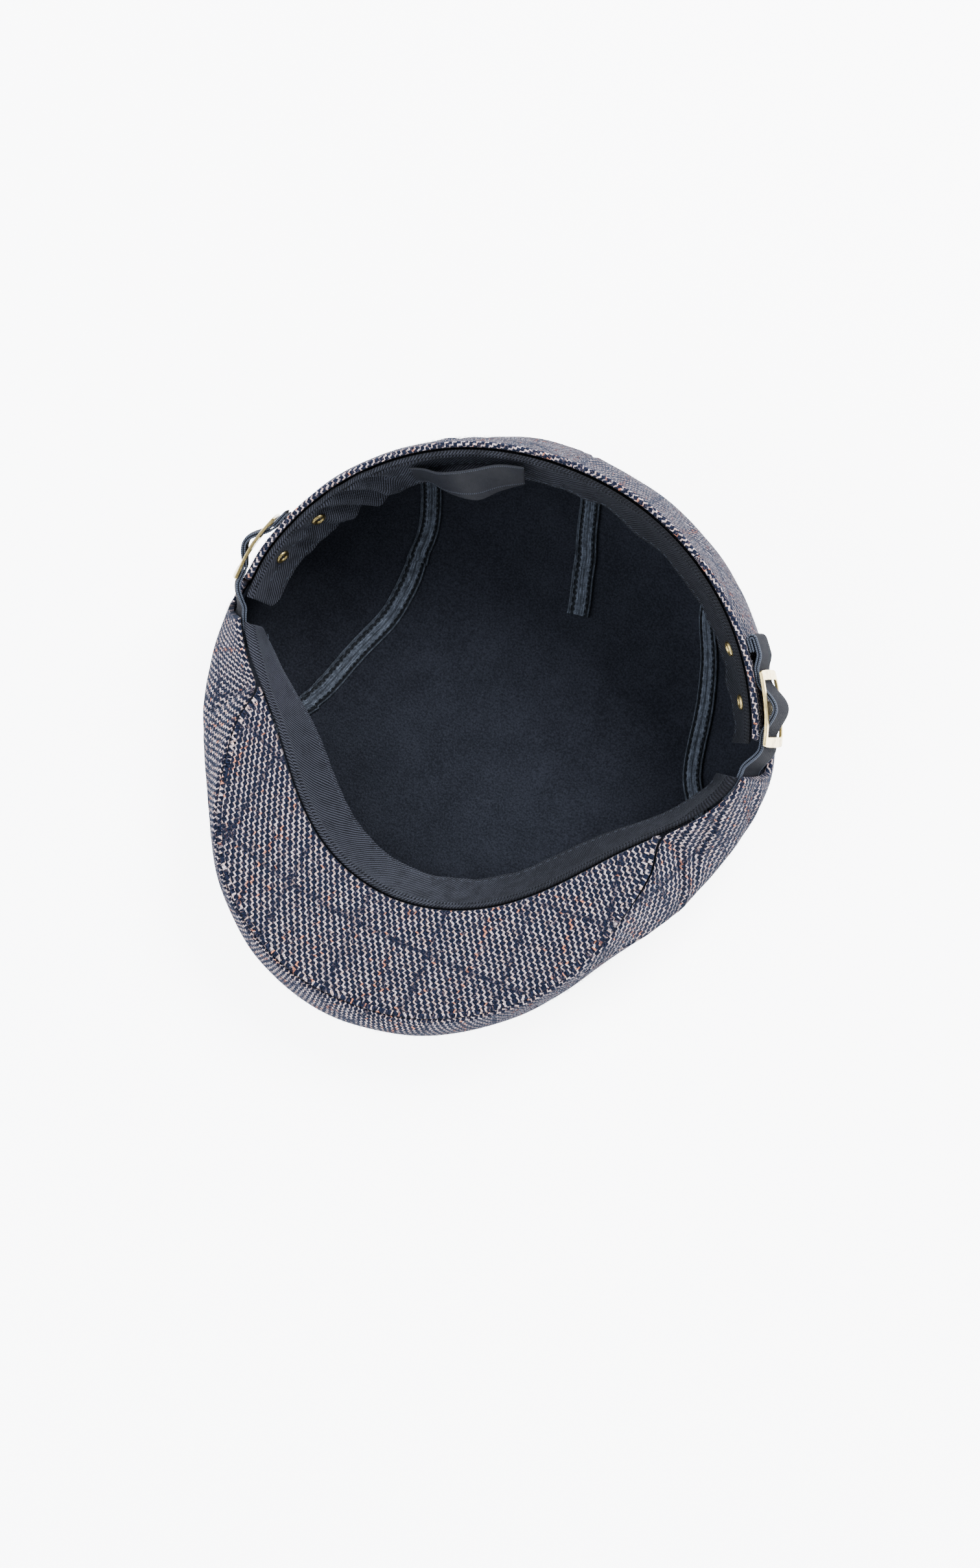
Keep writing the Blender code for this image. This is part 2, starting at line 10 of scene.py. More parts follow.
import bpy
import numpy as np
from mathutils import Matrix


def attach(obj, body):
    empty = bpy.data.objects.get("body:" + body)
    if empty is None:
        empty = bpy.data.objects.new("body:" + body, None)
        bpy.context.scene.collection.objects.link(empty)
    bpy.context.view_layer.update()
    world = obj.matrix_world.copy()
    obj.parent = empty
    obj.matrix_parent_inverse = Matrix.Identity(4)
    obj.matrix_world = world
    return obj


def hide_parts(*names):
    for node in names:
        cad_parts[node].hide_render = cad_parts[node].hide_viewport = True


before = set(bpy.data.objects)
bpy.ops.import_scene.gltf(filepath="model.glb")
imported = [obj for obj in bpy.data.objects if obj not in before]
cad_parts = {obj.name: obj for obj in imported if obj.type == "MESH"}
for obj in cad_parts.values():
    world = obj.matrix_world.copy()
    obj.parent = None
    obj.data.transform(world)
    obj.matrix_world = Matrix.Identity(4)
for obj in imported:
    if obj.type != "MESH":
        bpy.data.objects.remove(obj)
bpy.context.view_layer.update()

bl_info = {
    "name": "Tweed golf cap",
    "version": (1, 0, 0),
    "blender": (4, 5, 0),
    "location": "View3D > Sidebar > Cap",
    "description": "Cloth, lining, sweatband, straps and buckles of a flat cap, and the stage round it",
    "category": "Object",
}

# Form of the crown, the peak and the sweatband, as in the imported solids
HEAD_CENTRE = np.array([0.00018, 0.00898, 0.0])
HEAD_RADIUS = 0.103
BELLY_RADIUS = 0.113
RIM_BACK = 0.092
RIM_FRONT = 0.042
BELLY_HEIGHT = 0.042
CROWN_WALL = 0.0024
LINING_WALL = 0.0010
LINING_START = 0.008
SIDE_ROUNDNESS = 1.6
FRONT_TURN = math.radians(6.334)
SWEEP_START = 0.030
SWEEP_EASE = 0.020
RIM_TILT = math.radians(1.432)
PEAK_REACH = 0.044
PEAK_TIP_HEIGHT = 0.034
PEAK_THICKNESS = 0.0036
PEAK_EDGE_THICKNESS = 0.0022
PEAK_BOW = 0.0015
PEAK_ANGLE = math.radians(80)
PEAK_END_MARGIN = math.radians(2)
NOTCH_ANGLES = {"right": math.radians(103), "left": math.radians(-98)}
NOTCH_HALF_WIDTH = 0.0075
NOTCH_DEPTH = 0.027
BAND_WALL = 0.0012
BAND_WIDTH = 0.027
BAND_BELOW_RIM = 0.0010
BAND_GAP = 0.0005
STRAP_WIDTH = 0.020
STRAP_THICKNESS = 0.0020
STRAP_BELOW_RIM = 0.0015
STRAP_TUCK = 0.012
STRAP_TAIL = 0.0044
LOOP_RISE = 0.0016
BUCKLE_OFFSET = 0.0055
BUCKLE_THICKNESS = 0.0012
BUCKLE_END_BAR = 0.0035
BUCKLE_SLOT = 0.0074
BUCKLE_MIDDLE_BAR = 0.0050
BUCKLE_RAIL = 0.0022
BUCKLE_TO_END = {"right": 0.0110, "left": 0.0035}
RIVET_RADIUS = 0.0030
RIVET_HOLE = 0.0013
RIVET_THICKNESS = 0.0009
RIVET_OFFSETS = (0.022, 0.043)
TAPE_WIDTH = 0.0088
TAPE_WALL = 0.0010
TAPE_GAP = 0.0007
LABEL_WALL = 0.0010
LABEL_WIDTH = 0.015
LABEL_SPAN = 0.92 * LABEL_WIDTH
GAP = 0.0003
LINING_GAP = 0.0005

# Shares of the named sizes, front to back, the same on both sides: opening of HEAD_RADIUS, overhang
# of PEAK_REACH, belly and rest of BELLY_RADIUS, belly_up of BELLY_HEIGHT, band_lean of BAND_WIDTH
FORM_COLUMNS = ("angle", "opening", "overhang", "belly", "belly_up", "rest", "band_lean")
FORM = (
    (0, 0.733, 1.00, 1.151, 0.43, 0.74, 0.38),
    (10, 0.730, 1.00, 1.143, 0.43, 0.74, 0.38),
    (20, 0.724, 0.97, 1.112, 0.45, 0.73, 0.38),
    (30, 0.716, 0.91, 1.065, 0.52, 0.72, 0.38),
    (40, 0.708, 0.82, 1.018, 0.60, 0.70, 0.38),
    (50, 0.706, 0.68, 0.973, 0.68, 0.68, 0.38),
    (60, 0.716, 0.50, 0.953, 0.75, 0.66, 0.37),
    (70, 0.749, 0.30, 0.955, 0.80, 0.65, 0.34),
    (80, 0.820, 0.00, 0.970, 0.83, 0.65, 0.32),
    (88, 0.905, 0.00, 0.983, 0.85, 0.65, 0.28),
    (96, 0.983, 0.00, 0.994, 0.87, 0.65, 0.24),
    (105, 1.012, 0.00, 0.995, 0.90, 0.65, 0.24),
    (118, 1.018, 0.00, 0.992, 0.93, 0.65, 0.26),
    (130, 1.018, 0.00, 0.990, 0.96, 0.66, 0.28),
    (150, 1.012, 0.00, 0.992, 1.00, 0.67, 0.26),
    (180, 1.000, 0.00, 0.992, 1.00, 0.68, 0.22),
)

# Tape routes over the lining: angle in degrees and run
TAPE_ROUTES = {
    "seam_tape_left": ((-149, 0.70), (-147, 1.15), (-144.5, 1.52), (-141, 1.79), (-136, 1.95),
                       (-128, 2.08), (-114, 2.15), (-98, 2.13), (-83, 2.06), (-74, 1.92), (-68, 1.70)),
    "seam_tape_right": ((145, 0.70), (143, 1.10), (141, 1.37), (137, 1.58), (127, 1.71), (117, 1.80),
                        (106, 1.87), (96, 1.85), (89, 1.72), (83, 1.50)),
    "dart_tape_back": ((179, 0.70), (178.5, 1.15), (177, 1.52), (175, 1.83), (171, 2.08),
                       (164.5, 2.28)),
}

# Label along its upper edge: shares of LABEL_WIDTH for how far its upper and its lower edge stand in
# from the sweatband and how far its upper edge hangs below the rim
LABEL_COLUMNS = ("angle", "upper_in", "lower_in", "below")
LABEL = (
    (-146, 0.02, 0.02, 0.46),
    (-149, 0.14, 0.16, 0.40),
    (-152, 0.32, 0.46, 0.30),
    (-156, 0.38, 0.72, 0.20),
    (-161, 0.30, 0.80, 0.24),
    (-166, 0.16, 0.55, 0.24),
    (-172, 0.13, 0.28, 0.18),
)

# How far down from its edge the crown's wall is rounded
RIM_ROUND = 0.00132

# Seams of the tweed: where the side panels meet behind, and the run of the seam between the side
# panels and the top panel, from the corner of the peak to the back
BACK_SEAM = 178.0
PANEL_COLUMNS = ("angle", "run")
PANEL_SEAM = ((0, 0.17), (38, 0.17), (46, 0.30), (53, 0.62), (62, 0.98), (75, 1.20), (95, 1.31),
              (120, 1.37), (180, 1.42))
PANEL_START = 44.0

# Grain of the side panels, in degrees: angle round the head, and turn from the way round it to the
# yarn columns
GRAIN = (
    (-182, 170), (-165, 150), (-150, 130), (-140, 120), (-98, 114), (-60, 108), (-45, 104), (0, 90),
    (45, 135), (60, 150), (90, 148), (110, 160), (125, 166), (145.4, 168), (146.2, 124), (160, 118),
    (178, 113),
)

# How far below the rim the side panels' cloth coordinates are laid off from
CLOTH_LEVEL = 0.020

# Creases of the crown: angle and slant in degrees, start and end down the wall, depth
CREASES = (
    (83, -20, 0.001, 0.030, 0.0012),
    (91, -22, 0.003, 0.028, 0.0012),
    (97, -12, 0.012, 0.036, 0.0008),
    (-79, 12, 0.003, 0.028, 0.0010),
    (-118, 5, 0.006, 0.040, 0.0007),
    (124, -6, 0.004, 0.036, 0.0009),
    (150, 4, 0.006, 0.040, 0.0009),
    (-156, -5, 0.008, 0.044, 0.0007),
)

# Stitch rows: depths below the sweatband's upper edge, where the upper row starts, how far the rows
# stop before a notch, and how far a tape's rows are from its middle
LOWER_ROW = 0.0243
UPPER_ROW = 0.0135
UPPER_ROW_START = math.radians(196)
ROW_END = math.radians(5)
TAPE_ROW = 0.0030

# Loose hairs of the tweed
HAIR_COUNT = 11000
HAIR_SEED = 71

# Camera of the photograph, looking down into the cap
VIEW_TARGET = np.array([0.00018, 0.00898, 0.04])
VIEW_DISTANCE = 1.30
VIEW_ASIDE = math.radians(9)
VIEW_BACK = math.radians(2)
VIEW_ROLL = math.radians(20)
VIEW_LENS = 76.86
VIEW_SHIFT = (0.0041, -0.0372)

# Lights: name, distances from the cap to the camera's right, up and towards it, size, power, tint
LIGHTS = (
    ("key_light", (0.65, 0.95, 1.30), 0.7, 87.0, (1.0, 0.99, 0.98)),
    ("fill_light", (-1.1, -0.2, 1.0), 1.2, 26.0, (0.93, 0.96, 1.0)),
)
STUDIO_TINT = (0.97, 0.98, 1.0, 1.0)
STUDIO_STRENGTH = 1.1
FLOOR_REACH = 6.0
FLOOR_GLOW = 6.6


def paint(red, green, blue):
    """A colour as light, from its 0 to 255 display values.

    A share up to 0.04045 is divided by 12.92. Above it, the share and 0.055 over 1.055 is raised to
    the power 2.4.
    """
    display = np.array([red, green, blue]) / 255
    light = np.where(display <= 0.04045, display / 12.92, ((display + 0.055) / 1.055) ** 2.4)
    return tuple(float(value) for value in np.round(light, 4))


def length(name, value, description):
    """A length in metres, for the sidebar."""
    return bpy.props.FloatProperty(name=name, default=value, min=0.0, precision=5, unit="LENGTH",
                                   subtype="DISTANCE", description=description)


def colour(name, value, description):
    """A colour from its 0 to 255 display values, for the sidebar."""
    return bpy.props.FloatVectorProperty(name=name, default=paint(*value), size=3, min=0.0, max=1.0,
                                         subtype="COLOR", description=description)


class CapSizes(bpy.types.PropertyGroup):
    """Sizes of the weave, the trims and the sewing."""

    yarn_columns: length("Yarn columns", 0.00239, "Spacing of the light zigzag yarns")
    zigzag_pitch: length("Zigzag pitch", 0.0021, "Length of one zigzag along a yarn")
    zigzag_swing: length("Zigzag swing", 0.00092, "Width that a zigzag covers, side to side")
    pane_width: length("Pane width", 0.0315, "Spacing of the dark lines across the check")
    pane_height: length("Pane height", 0.0365, "Spacing of the dark lines up the check")
    pane_line: length("Pane line", 0.0019, "Width of a dark line of the check")
    rib_pitch: length("Twill rib pitch", 0.00092, "Spacing of the sweatband's ribs")
    band_strip: length("Band strip", 0.0020, "Width of the sweatband's narrow strip at the rim")
    wrinkle: length("Wrinkle", 0.0007, "Height of the soft unevenness of the cloth")
    stitch: length("Stitch", 0.0024, "Length of a stitch")
    stitch_pitch: length("Stitch pitch", 0.0034, "Distance from stitch to stitch")
    thread: length("Thread", 0.00034, "Thickness of the sewing thread")
    bead_pitch: length("Bead pitch", 0.0007, "Spacing of the beads along a strap's edges")
    nap: length("Nap", 0.0013, "Length of the loose hairs on the tweed")


class CapColours(bpy.types.PropertyGroup):
    """Colours of the cloths, the threads and the metal."""

    yarn: colour("Light yarn", (248, 216, 220), "Light zigzag yarn of the tweed")
    ground: colour("Tweed ground", (14, 18, 30), "Dark ground of the tweed")
    blush: colour("Blush fleck", (228, 186, 164), "Warmer light yarn of the tweed")
    ember: colour("Orange fleck", (232, 138, 88), "Orange flecks of the tweed")
    fleece: colour("Fleece", (25, 27, 33), "Brushed lining")
    twill: colour("Twill", (39, 41, 49), "Sweatband")
    tape: colour("Tape", (64, 70, 80), "Seam tapes over the lining")
    satin: colour("Satin", (27, 29, 35), "Bare label")
    elastic: colour("Elastic", (27, 29, 36), "Side straps")
    brass: colour("Antique brass", (206, 186, 128), "Buckles and eyelets")
    thread: colour("Thread", (56, 61, 71), "Sewing thread")
    nap: colour("Nap", (150, 154, 168), "Loose hairs on the tweed")
    floor: colour("Floor", (250, 250, 252), "Surface that the cap lies on")


def smooth_column(rows, columns, name, degrees):
    """One column of a table at any angles, on cubics that share their rows' values and slopes."""
    at = np.array([row[columns.index("angle")] for row in rows], float)
    value = np.array([row[columns.index(name)] for row in rows], float)
    slope = np.gradient(value, at)
    index = np.clip(np.searchsorted(at, degrees, side="right") - 1, 0, len(at) - 2)
    step = at[index + 1] - at[index]
    t = (degrees - at[index]) / step
    return (
        (2 * t**3 - 3 * t**2 + 1) * value[index]
        + (t**3 - 2 * t**2 + t) * step * slope[index]
        + (3 * t**2 - 2 * t**3) * value[index + 1]
        + (t**3 - t**2) * step * slope[index + 1]
    )


def wrapped(angle):
    """An angle brought between minus and plus half a turn."""
    return (angle + math.pi) % (2 * math.pi) - math.pi


def from_front(angle):
    """How far round the head an angle is from the front, on either side."""
    return np.abs(wrapped(angle))


def ease(share):
    """A share from 0 to 1, eased at both ends: three squares less two cubes."""
    share = np.clip(share, 0, 1)
    return share**2 * (3 - 2 * share)


def form(name, angle):
    """A column of FORM, mirrored from one side of the head to the other."""
    folded = np.abs((np.degrees(angle) + 180) % 360 - 180)
    mirrored = [(-row[0],) + row[1:] for row in FORM[:0:-1]]
    behind = [(360 - row[0],) + row[1:] for row in FORM[-2:0:-1]]
    return smooth_column(mirrored + list(FORM) + behind, FORM_COLUMNS, name, folded)


def place(angle, radius, height):
    """A point at an angle, a radius and a height, with the way the soft cap lies.

    The front turns aside by the square of the distance ahead over that distance and an ease, and
    the cap leans to the right with its height.
    """
    x = radius * np.sin(angle)
    y = -radius * np.cos(angle)
    ahead = np.maximum(SWEEP_START - y, 0)
    x = x - math.tan(FRONT_TURN) * ahead**2 / (ahead + SWEEP_EASE) + math.tan(RIM_TILT) * height
    return np.stack([x, y, height + 0 * x], axis=-1) + HEAD_CENTRE


def opening_radius(angle):
    """Radius of the head opening: its share of HEAD_RADIUS."""
    return HEAD_RADIUS * form("opening", angle)


def rim_height(angle):
    """The opening's edge lies in a plane that rises from the peak to the back of the head."""
    y = -opening_radius(angle) * np.cos(angle)
    front, back = -opening_radius(0.0), opening_radius(math.pi)
    return RIM_FRONT + (RIM_BACK - RIM_FRONT) * (y - front) / (back - front)


def edge(angle):
    """Radius and height of the crown's inner edge: the opening, or the peak's outer edge.

    Over the peak the height goes from its tip to its corner by a power of the share of the angle.
    """
    radius = opening_radius(angle) + PEAK_REACH * np.maximum(form("overhang", angle), 0)
    share = from_front(angle) / PEAK_ANGLE
    corner = rim_height(PEAK_ANGLE)
    over_peak = PEAK_TIP_HEIGHT + (corner - PEAK_TIP_HEIGHT) * np.minimum(share, 1) ** 1.6
    return radius, np.where(share < 1, over_peak, rim_height(angle))


def skin(angle, run):
    """Outer face of the crown.

    From run 0 to 1 the radius falls short of the belly by a power of the run left, and the height
    goes straight down; from 1 to 2 both follow a quarter ellipse; from 2 to 3 the face is flat.
    """
    edge_radius, edge_height = edge(angle)
    edge_radius = edge_radius + CROWN_WALL
    belly = BELLY_RADIUS * form("belly", angle)
    belly_height = BELLY_HEIGHT * form("belly_up", angle)
    rest = BELLY_RADIUS * form("rest", angle)
    turn = np.clip(run - 1, 0, 1) * math.pi / 2
    side = belly - (belly - edge_radius) * (1 - np.minimum(run, 1)) ** SIDE_ROUNDNESS
    under = rest + (belly - rest) * np.cos(turn)
    radius = np.where(run <= 1, side, np.where(run <= 2, under, rest * (3 - run)))
    side_height = edge_height + (belly_height - edge_height) * run
    height = np.where(run <= 1, side_height, belly_height * (1 - np.sin(turn)))
    return place(angle, radius, height)


def outward(angle, run):
    """Unit normal of the crown's outer face: the cross product of its two slopes."""
    step = 1e-3
    along = skin(angle + step, run) - skin(angle - step, run)
    down = skin(angle, run + step) - skin(angle, run - step)
    normal = np.cross(down, along)
    size = np.linalg.norm(normal, axis=-1, keepdims=True)
    resting = (run + 0 * angle >= 2)[..., None]
    return np.where(resting, np.array([0.0, 0.0, -1.0]), normal / np.maximum(size, 1e-12))


def wall(angle, run, out=0.0):
    """A point at a distance outside the crown's outer face, or inside it where out is negative."""
    angle, run, out = np.broadcast_arrays(angle, run, out)
    return skin(angle, run) + out[..., None] * outward(angle, run)


def side_depth(angle):
    """Height of the crown's edge above its belly."""
    return edge(angle)[1] - BELLY_HEIGHT * form("belly_up", angle)


def notch_distance(angle):
    """Distance along the rim from the nearest notch's middle."""
    radius = opening_radius(angle)
    return np.min([np.abs(wrapped(angle - at)) * radius for at in NOTCH_ANGLES.values()], axis=0)


def notch_drop(angle):
    """How far a notch lowers the crown's edge: its depth less a fourth power of the share across."""
    share = np.minimum(notch_distance(angle) / NOTCH_HALF_WIDTH, 1)
    return NOTCH_DEPTH * (1 - share**4)


def lining_drop(angle):
    """Where the lining starts below the crown's edge: lower round a notch, where the strap is."""
    reach = NOTCH_HALF_WIDTH + STRAP_TUCK
    share = np.clip(notch_distance(angle) / reach, 1, 1.5) * 2 - 2
    return LINING_START + (NOTCH_DEPTH - LINING_START) * (1 - ease(share))


def strap_room(angle):
    """How far the sweatband stands in from the crown for the end of a strap, in front of a notch.

    It is the strap's thickness and two gaps, eased over the length that the strap is tucked in.
    """
    near = np.clip(2 - notch_distance(angle) / (NOTCH_HALF_WIDTH + STRAP_TUCK) * 1.25, 0, 1)
    notch = np.where(wrapped(angle) >= 0, NOTCH_ANGLES["right"], -NOTCH_ANGLES["left"])
    return (STRAP_THICKNESS + 2 * GAP) * np.where(from_front(angle) < notch, ease(near), 0)


def band_face(angle, share, inside=0.0):
    """Outer face of the sweatband: share 0 at its upper edge, 1 at its lower, leaning inwards.

    It leans in by the power 1.3 of the share. The fall is the other side of a right triangle, whose
    long side is the band's width.
    """
    lean = BAND_WIDTH * form("band_lean", angle)
    fall = np.sqrt(BAND_WIDTH**2 - lean**2)
    stand = BAND_GAP + strap_room(angle)
    radius = opening_radius(angle) - stand - lean * np.maximum(share, 0) ** 1.3 - inside
    return place(angle, radius, rim_height(angle) - BAND_BELOW_RIM - fall * share)


def beside_notch(side, along):
    """Angle at a distance along the rim from a notch's middle, positive to the back."""
    at = NOTCH_ANGLES[side]
    return at + math.copysign(1, at) * along / opening_radius(at)


def on_rim(side, along, drop, out):
    """A point beside a notch: along the rim to the back, down the wall and out from it."""
    angle = beside_notch(side, along)
    return wall(angle, drop / side_depth(angle), out)


def unit(vectors):
    """Vectors scaled to length 1."""
    return vectors / np.maximum(np.linalg.norm(vectors, axis=-1, keepdims=True), 1e-12)


def paths(points, axis=0):
    """Distance along lines of points: the running sum of their steps, from 0 on."""
    steps = np.linalg.norm(np.diff(points, axis=axis), axis=-1)
    return np.concatenate([np.zeros_like(np.take(steps, [0], axis)), np.cumsum(steps, axis)], axis)


def cells(columns, rows):
    """Column and row numbers of all cells of a grid, column by column."""
    both = np.meshgrid(np.arange(columns), np.arange(rows), indexing="ij")
    return both[0].ravel(), both[1].ravel()


def tube_faces(rings, around):
    """Corners of the faces between rings of as many points each, ring by ring."""
    i, j = cells(rings - 1, around)
    after = (j + 1) % around
    return np.stack([i * around + j, i * around + after, (i + 1) * around + after,
                     (i + 1) * around + j], axis=-1)


def edge_taper(distance, radius):
    """Share of the full thickness near an edge, so that the edge is round: a quarter circle."""
    share = np.clip(distance / radius, 0, 1)
    return np.sqrt(np.maximum(1 - (1 - share) ** 2, 0.0)) * 0.96 + 0.04


def waves(first, second, seed):
    """Soft unevenness, mostly between -1 and 1.

    It is a sum of sines in random directions, lengths and phases over the root of their number.
    """
    draw = np.random.default_rng(seed)
    count, total = 6, 0.0
    for _ in range(count):
        heading, beat, phase = draw.uniform(0, math.pi), draw.uniform(1, 4), draw.uniform(0, 6.28)
        total = total + np.sin(beat * (first * math.cos(heading) + second * math.sin(heading)) + phase)
    return total / count**0.5


def shape(name, points, parts, smooth=True):
    """A mesh object from points and from faces given as arrays of corners, each with its own cloth
    coordinates. Its faces are turned round if its signed volume, a sixth of the sum of the triple
    products of their corners, is negative."""
    volume = 0.0
    for corners, _ in parts:
        first, second, third = (points[corners[:, k]] for k in (0, 1, 2))
        volume += np.einsum("ij,ij->i", first, np.cross(second, third)).sum()
        if corners.shape[1] == 4:
            volume += np.einsum("ij,ij->i", first, np.cross(third, points[corners[:, 3]])).sum()
    way = 1 if volume > 0 else -1
    mesh = bpy.data.meshes.new(name)
    mesh.from_pydata(points, [], [face for corners, _ in parts for face in corners[:, ::way].tolist()])
    cloth = np.concatenate([coordinates[:, ::way].reshape(-1, 2) for _, coordinates in parts])
    layer = mesh.uv_layers.new(name="cloth")
    layer.data.foreach_set("uv", cloth.astype(np.float32).ravel())
    if smooth:
        mesh.shade_smooth()
        mesh.set_sharp_from_angle(angle=math.radians(50))
    made = bpy.data.objects.new(name, mesh)
    bpy.context.collection.objects.link(made)
    return made


def slab_parts(outer, inner, cloth, panel=None, ring=False, pole=False):
    """Points and faces of a closed wall between two grids, columns by rows.

    A ring joins its last column to its first, and a pole gathers its last row in one point. The
    cloth coordinates have one column more than a ring's points, and may have a set for each panel
    and side.
    """
    columns, rows = outer.shape[:2]
    kept = rows - 1 if pole else rows
    points = np.concatenate([outer[:, :kept].reshape(-1, 3), inner[:, :kept].reshape(-1, 3)])
    if pole:
        points = np.concatenate([points, outer[:1, -1], inner[:1, -1]])
    if cloth.ndim == 3:
        cloth = np.stack([cloth, cloth])[None]
    across = columns if ring else columns - 1
    if panel is None:
        panel = np.zeros((across, rows - 1), int)
    last = kept - 1
    i, j = cells(across, last)
    k, row = np.arange(across), np.arange(last)

    def part(corners, panels):
        """Points' numbers and cloth coordinates of faces, from corners as column, row and side."""
        column, level, side = (np.stack(np.broadcast_arrays(*axis), axis=-1) for axis in zip(*corners))
        index = side * columns * kept + column % columns * kept + level
        if pole:
            index = np.where(level == kept, 2 * columns * kept + side, index)
        return index, cloth[np.asarray(panels)[:, None], side, column, level]

    both = panel[i, j]
    parts = [
        part([(i, j, 0), (i, j + 1, 0), (i + 1, j + 1, 0), (i + 1, j, 0)], both),
        part([(i + 1, j, 1), (i + 1, j + 1, 1), (i, j + 1, 1), (i, j, 1)], both),
        part([(k, 0, 0), (k + 1, 0, 0), (k + 1, 0, 1), (k, 0, 1)], panel[k, 0]),
    ]
    if pole:
        parts += [part([(k, last, 0), (k, kept, 0), (k + 1, last, 0)], panel[k, last]),
                  part([(k + 1, last, 1), (k, kept, 1), (k, last, 1)], panel[k, last])]
    else:
        parts += [part([(k + 1, last, 0), (k, last, 0), (k, last, 1), (k + 1, last, 1)],
                       panel[k, last - 1])]
    if not ring:
        end = columns - 1
        parts += [part([(0, row, 0), (0, row, 1), (0, row + 1, 1), (0, row + 1, 0)], panel[0, row]),
                  part([(end, row, 1), (end, row, 0), (end, row + 1, 0), (end, row + 1, 1)],
                       panel[end - 1, row])]
    return points, parts


def slab(name, outer, inner, cloth, **options):
    """A closed wall between two grids, as a mesh object."""
    return shape(name, *slab_parts(outer, inner, cloth, **options))


def copies(name, points, faces, cloth, smooth=True):
    """One mesh object of many small solids that share their faces and cloth coordinates.

    Each solid has a row of the points, so its corners are the shared ones and its row's start.
    """
    count, each = points.shape[:2]
    start = (np.arange(count) * each)[:, None, None]
    corners = [(some[None] + start).reshape(-1, some.shape[1]) for some in faces]
    return shape(name, points.reshape(-1, 3), [(some, cloth[some % each]) for some in corners], smooth)


def arc_cloth(points):
    """Cloth coordinates of a grid: the distance along its middle row and down its columns."""
    along = paths(points[:, points.shape[1] // 2])[:, None]
    return np.stack(np.broadcast_arrays(along, paths(points, 1)), axis=-1)


def sheet_of(name, middle, half, cloth):
    """A slab from grids of its middle and of its half thickness, laid off both ways.

    It is laid off along the unit normal, the cross product of the slopes along columns and rows.
    """
    normal = unit(np.cross(np.gradient(middle, axis=0), np.gradient(middle, axis=1)))
    offset = half[..., None] * normal
    return slab(name, middle + offset, middle - offset, cloth)


class Finish:
    """A material under construction. Sockets are joined, plain values are set on them."""

    def __init__(self, name, **values):
        self.material = bpy.data.materials.new(f"cap_{name}")
        self.material.use_nodes = True
        self.tree = self.material.node_tree
        self.shader = self.tree.nodes["Principled BSDF"]
        for label, value in values.items():
            self.shader.inputs[label.replace("_", " ").title().replace("Ior", "IOR")].default_value = value

    def join(self, socket, value):
        """Give a socket the result of a node, or a plain value."""
        if isinstance(value, bpy.types.NodeSocket):
            self.tree.links.new(value, socket)
        else:
            socket.default_value = value

    def node(self, kind, result, settings, inputs):
        """One result of a new node, with its settings and its inputs, which may go by number."""
        made = self.tree.nodes.new(kind)
        for label, value in settings.items():
            setattr(made, label, value)
        for label, value in inputs.items():
            self.join(made.inputs[label], value)
        return made.outputs[result]

    def math(self, operation, *values):
        """An operation on one or two numbers, or on more of them one after the other."""
        if len(values) > 2:
            return self.math(operation, self.math(operation, *values[:2]), *values[2:])
        return self.node("ShaderNodeMath", 0, {"operation": operation}, dict(enumerate(values)))

    def add(self, *values):
        """The sum of the values."""
        return self.math("ADD", *values)

    def times(self, *values):
        """The product of the values."""
        return self.math("MULTIPLY", *values)

    def less(self, first, second):
        """The first value less the second."""
        return self.math("SUBTRACT", first, second)

    def off(self, value, middle):
        """How far a value is from a middle one, on either side."""
        return self.math("ABSOLUTE", self.less(value, middle))

    def sway(self, value, size):
        """A value about a half, moved to be about 0, times a size."""
        return self.times(self.less(value, 0.5), size)

    def ridge(self, value, pitch):
        """A triangle wave from 0 to a half and back over each pitch."""
        return self.math("PINGPONG", self.math("DIVIDE", value, pitch), 0.5)

    def step(self, value, low, high, start=0.0, end=1.0):
        """Eased from start to end as the value goes from low to high."""
        return self.node("ShaderNodeMapRange", "Result", {"interpolation_type": "SMOOTHSTEP"},
                         {"Value": value, "From Min": low, "From Max": high, "To Min": start,
                          "To Max": end})

    def noise(self, at, scale, detail=2.0, roughness=0.5):
        """Cloudy noise about a half, with its scale in patches to the metre."""
        return self.node("ShaderNodeTexNoise", "Fac", {}, {"Vector": at, "Scale": scale,
                                                           "Detail": detail, "Roughness": roughness})

    def chance(self, first, second):
        """A random value from 0 to 1 for each pair of whole numbers."""
        pair = self.node("ShaderNodeCombineXYZ", "Vector", {}, {"X": first, "Y": second})
        return self.node("ShaderNodeTexWhiteNoise", "Value", {"noise_dimensions": "2D"}, {"Vector": pair})

    def blend(self, share, first, second):
        """From the first colour to the second by a share."""
        return self.node("ShaderNodeMix", 2, {"data_type": "RGBA"}, {0: share, 6: first, 7: second})

    def tones(self, share, value, dark, pale):
        """From a dark to a pale shade of one colour by a share."""
        return self.blend(share, shade(value, dark), shade(value, pale))

    def split(self, vector):
        """The three parts of a vector."""
        made = self.tree.nodes.new("ShaderNodeSeparateXYZ")
        self.join(made.inputs[0], vector)
        return made.outputs[:]

    def cloth(self):
        """The piece's own cloth coordinates, in metres: the vector, along and across."""
        at = self.node("ShaderNodeUVMap", "UV", {"uv_map": "cloth"}, {})
        along, across, _ = self.split(at)
        return at, along, across

    def place(self):
        """The place on the cap, in metres."""
        return self.node("ShaderNodeTexCoord", "Object", {}, {})

    def scaled(self, at, along, across):
        """A vector with its first two parts scaled."""
        return self.node("ShaderNodeVectorMath", 0, {"operation": "MULTIPLY"},
                         {0: at, 1: (along, across, 1.0)})

    def relief(self, height, distance, strength):
        """Bumps of a height from 0 to about 1, which stand out by the distance."""
        bumps = self.node("ShaderNodeBump", "Normal", {}, {"Height": height, "Distance": distance,
                                                           "Strength": strength})
        self.join(self.shader.inputs["Normal"], bumps)

    def colour(self, value):
        """Give the surface its colour."""
        self.join(self.shader.inputs["Base Color"], value)


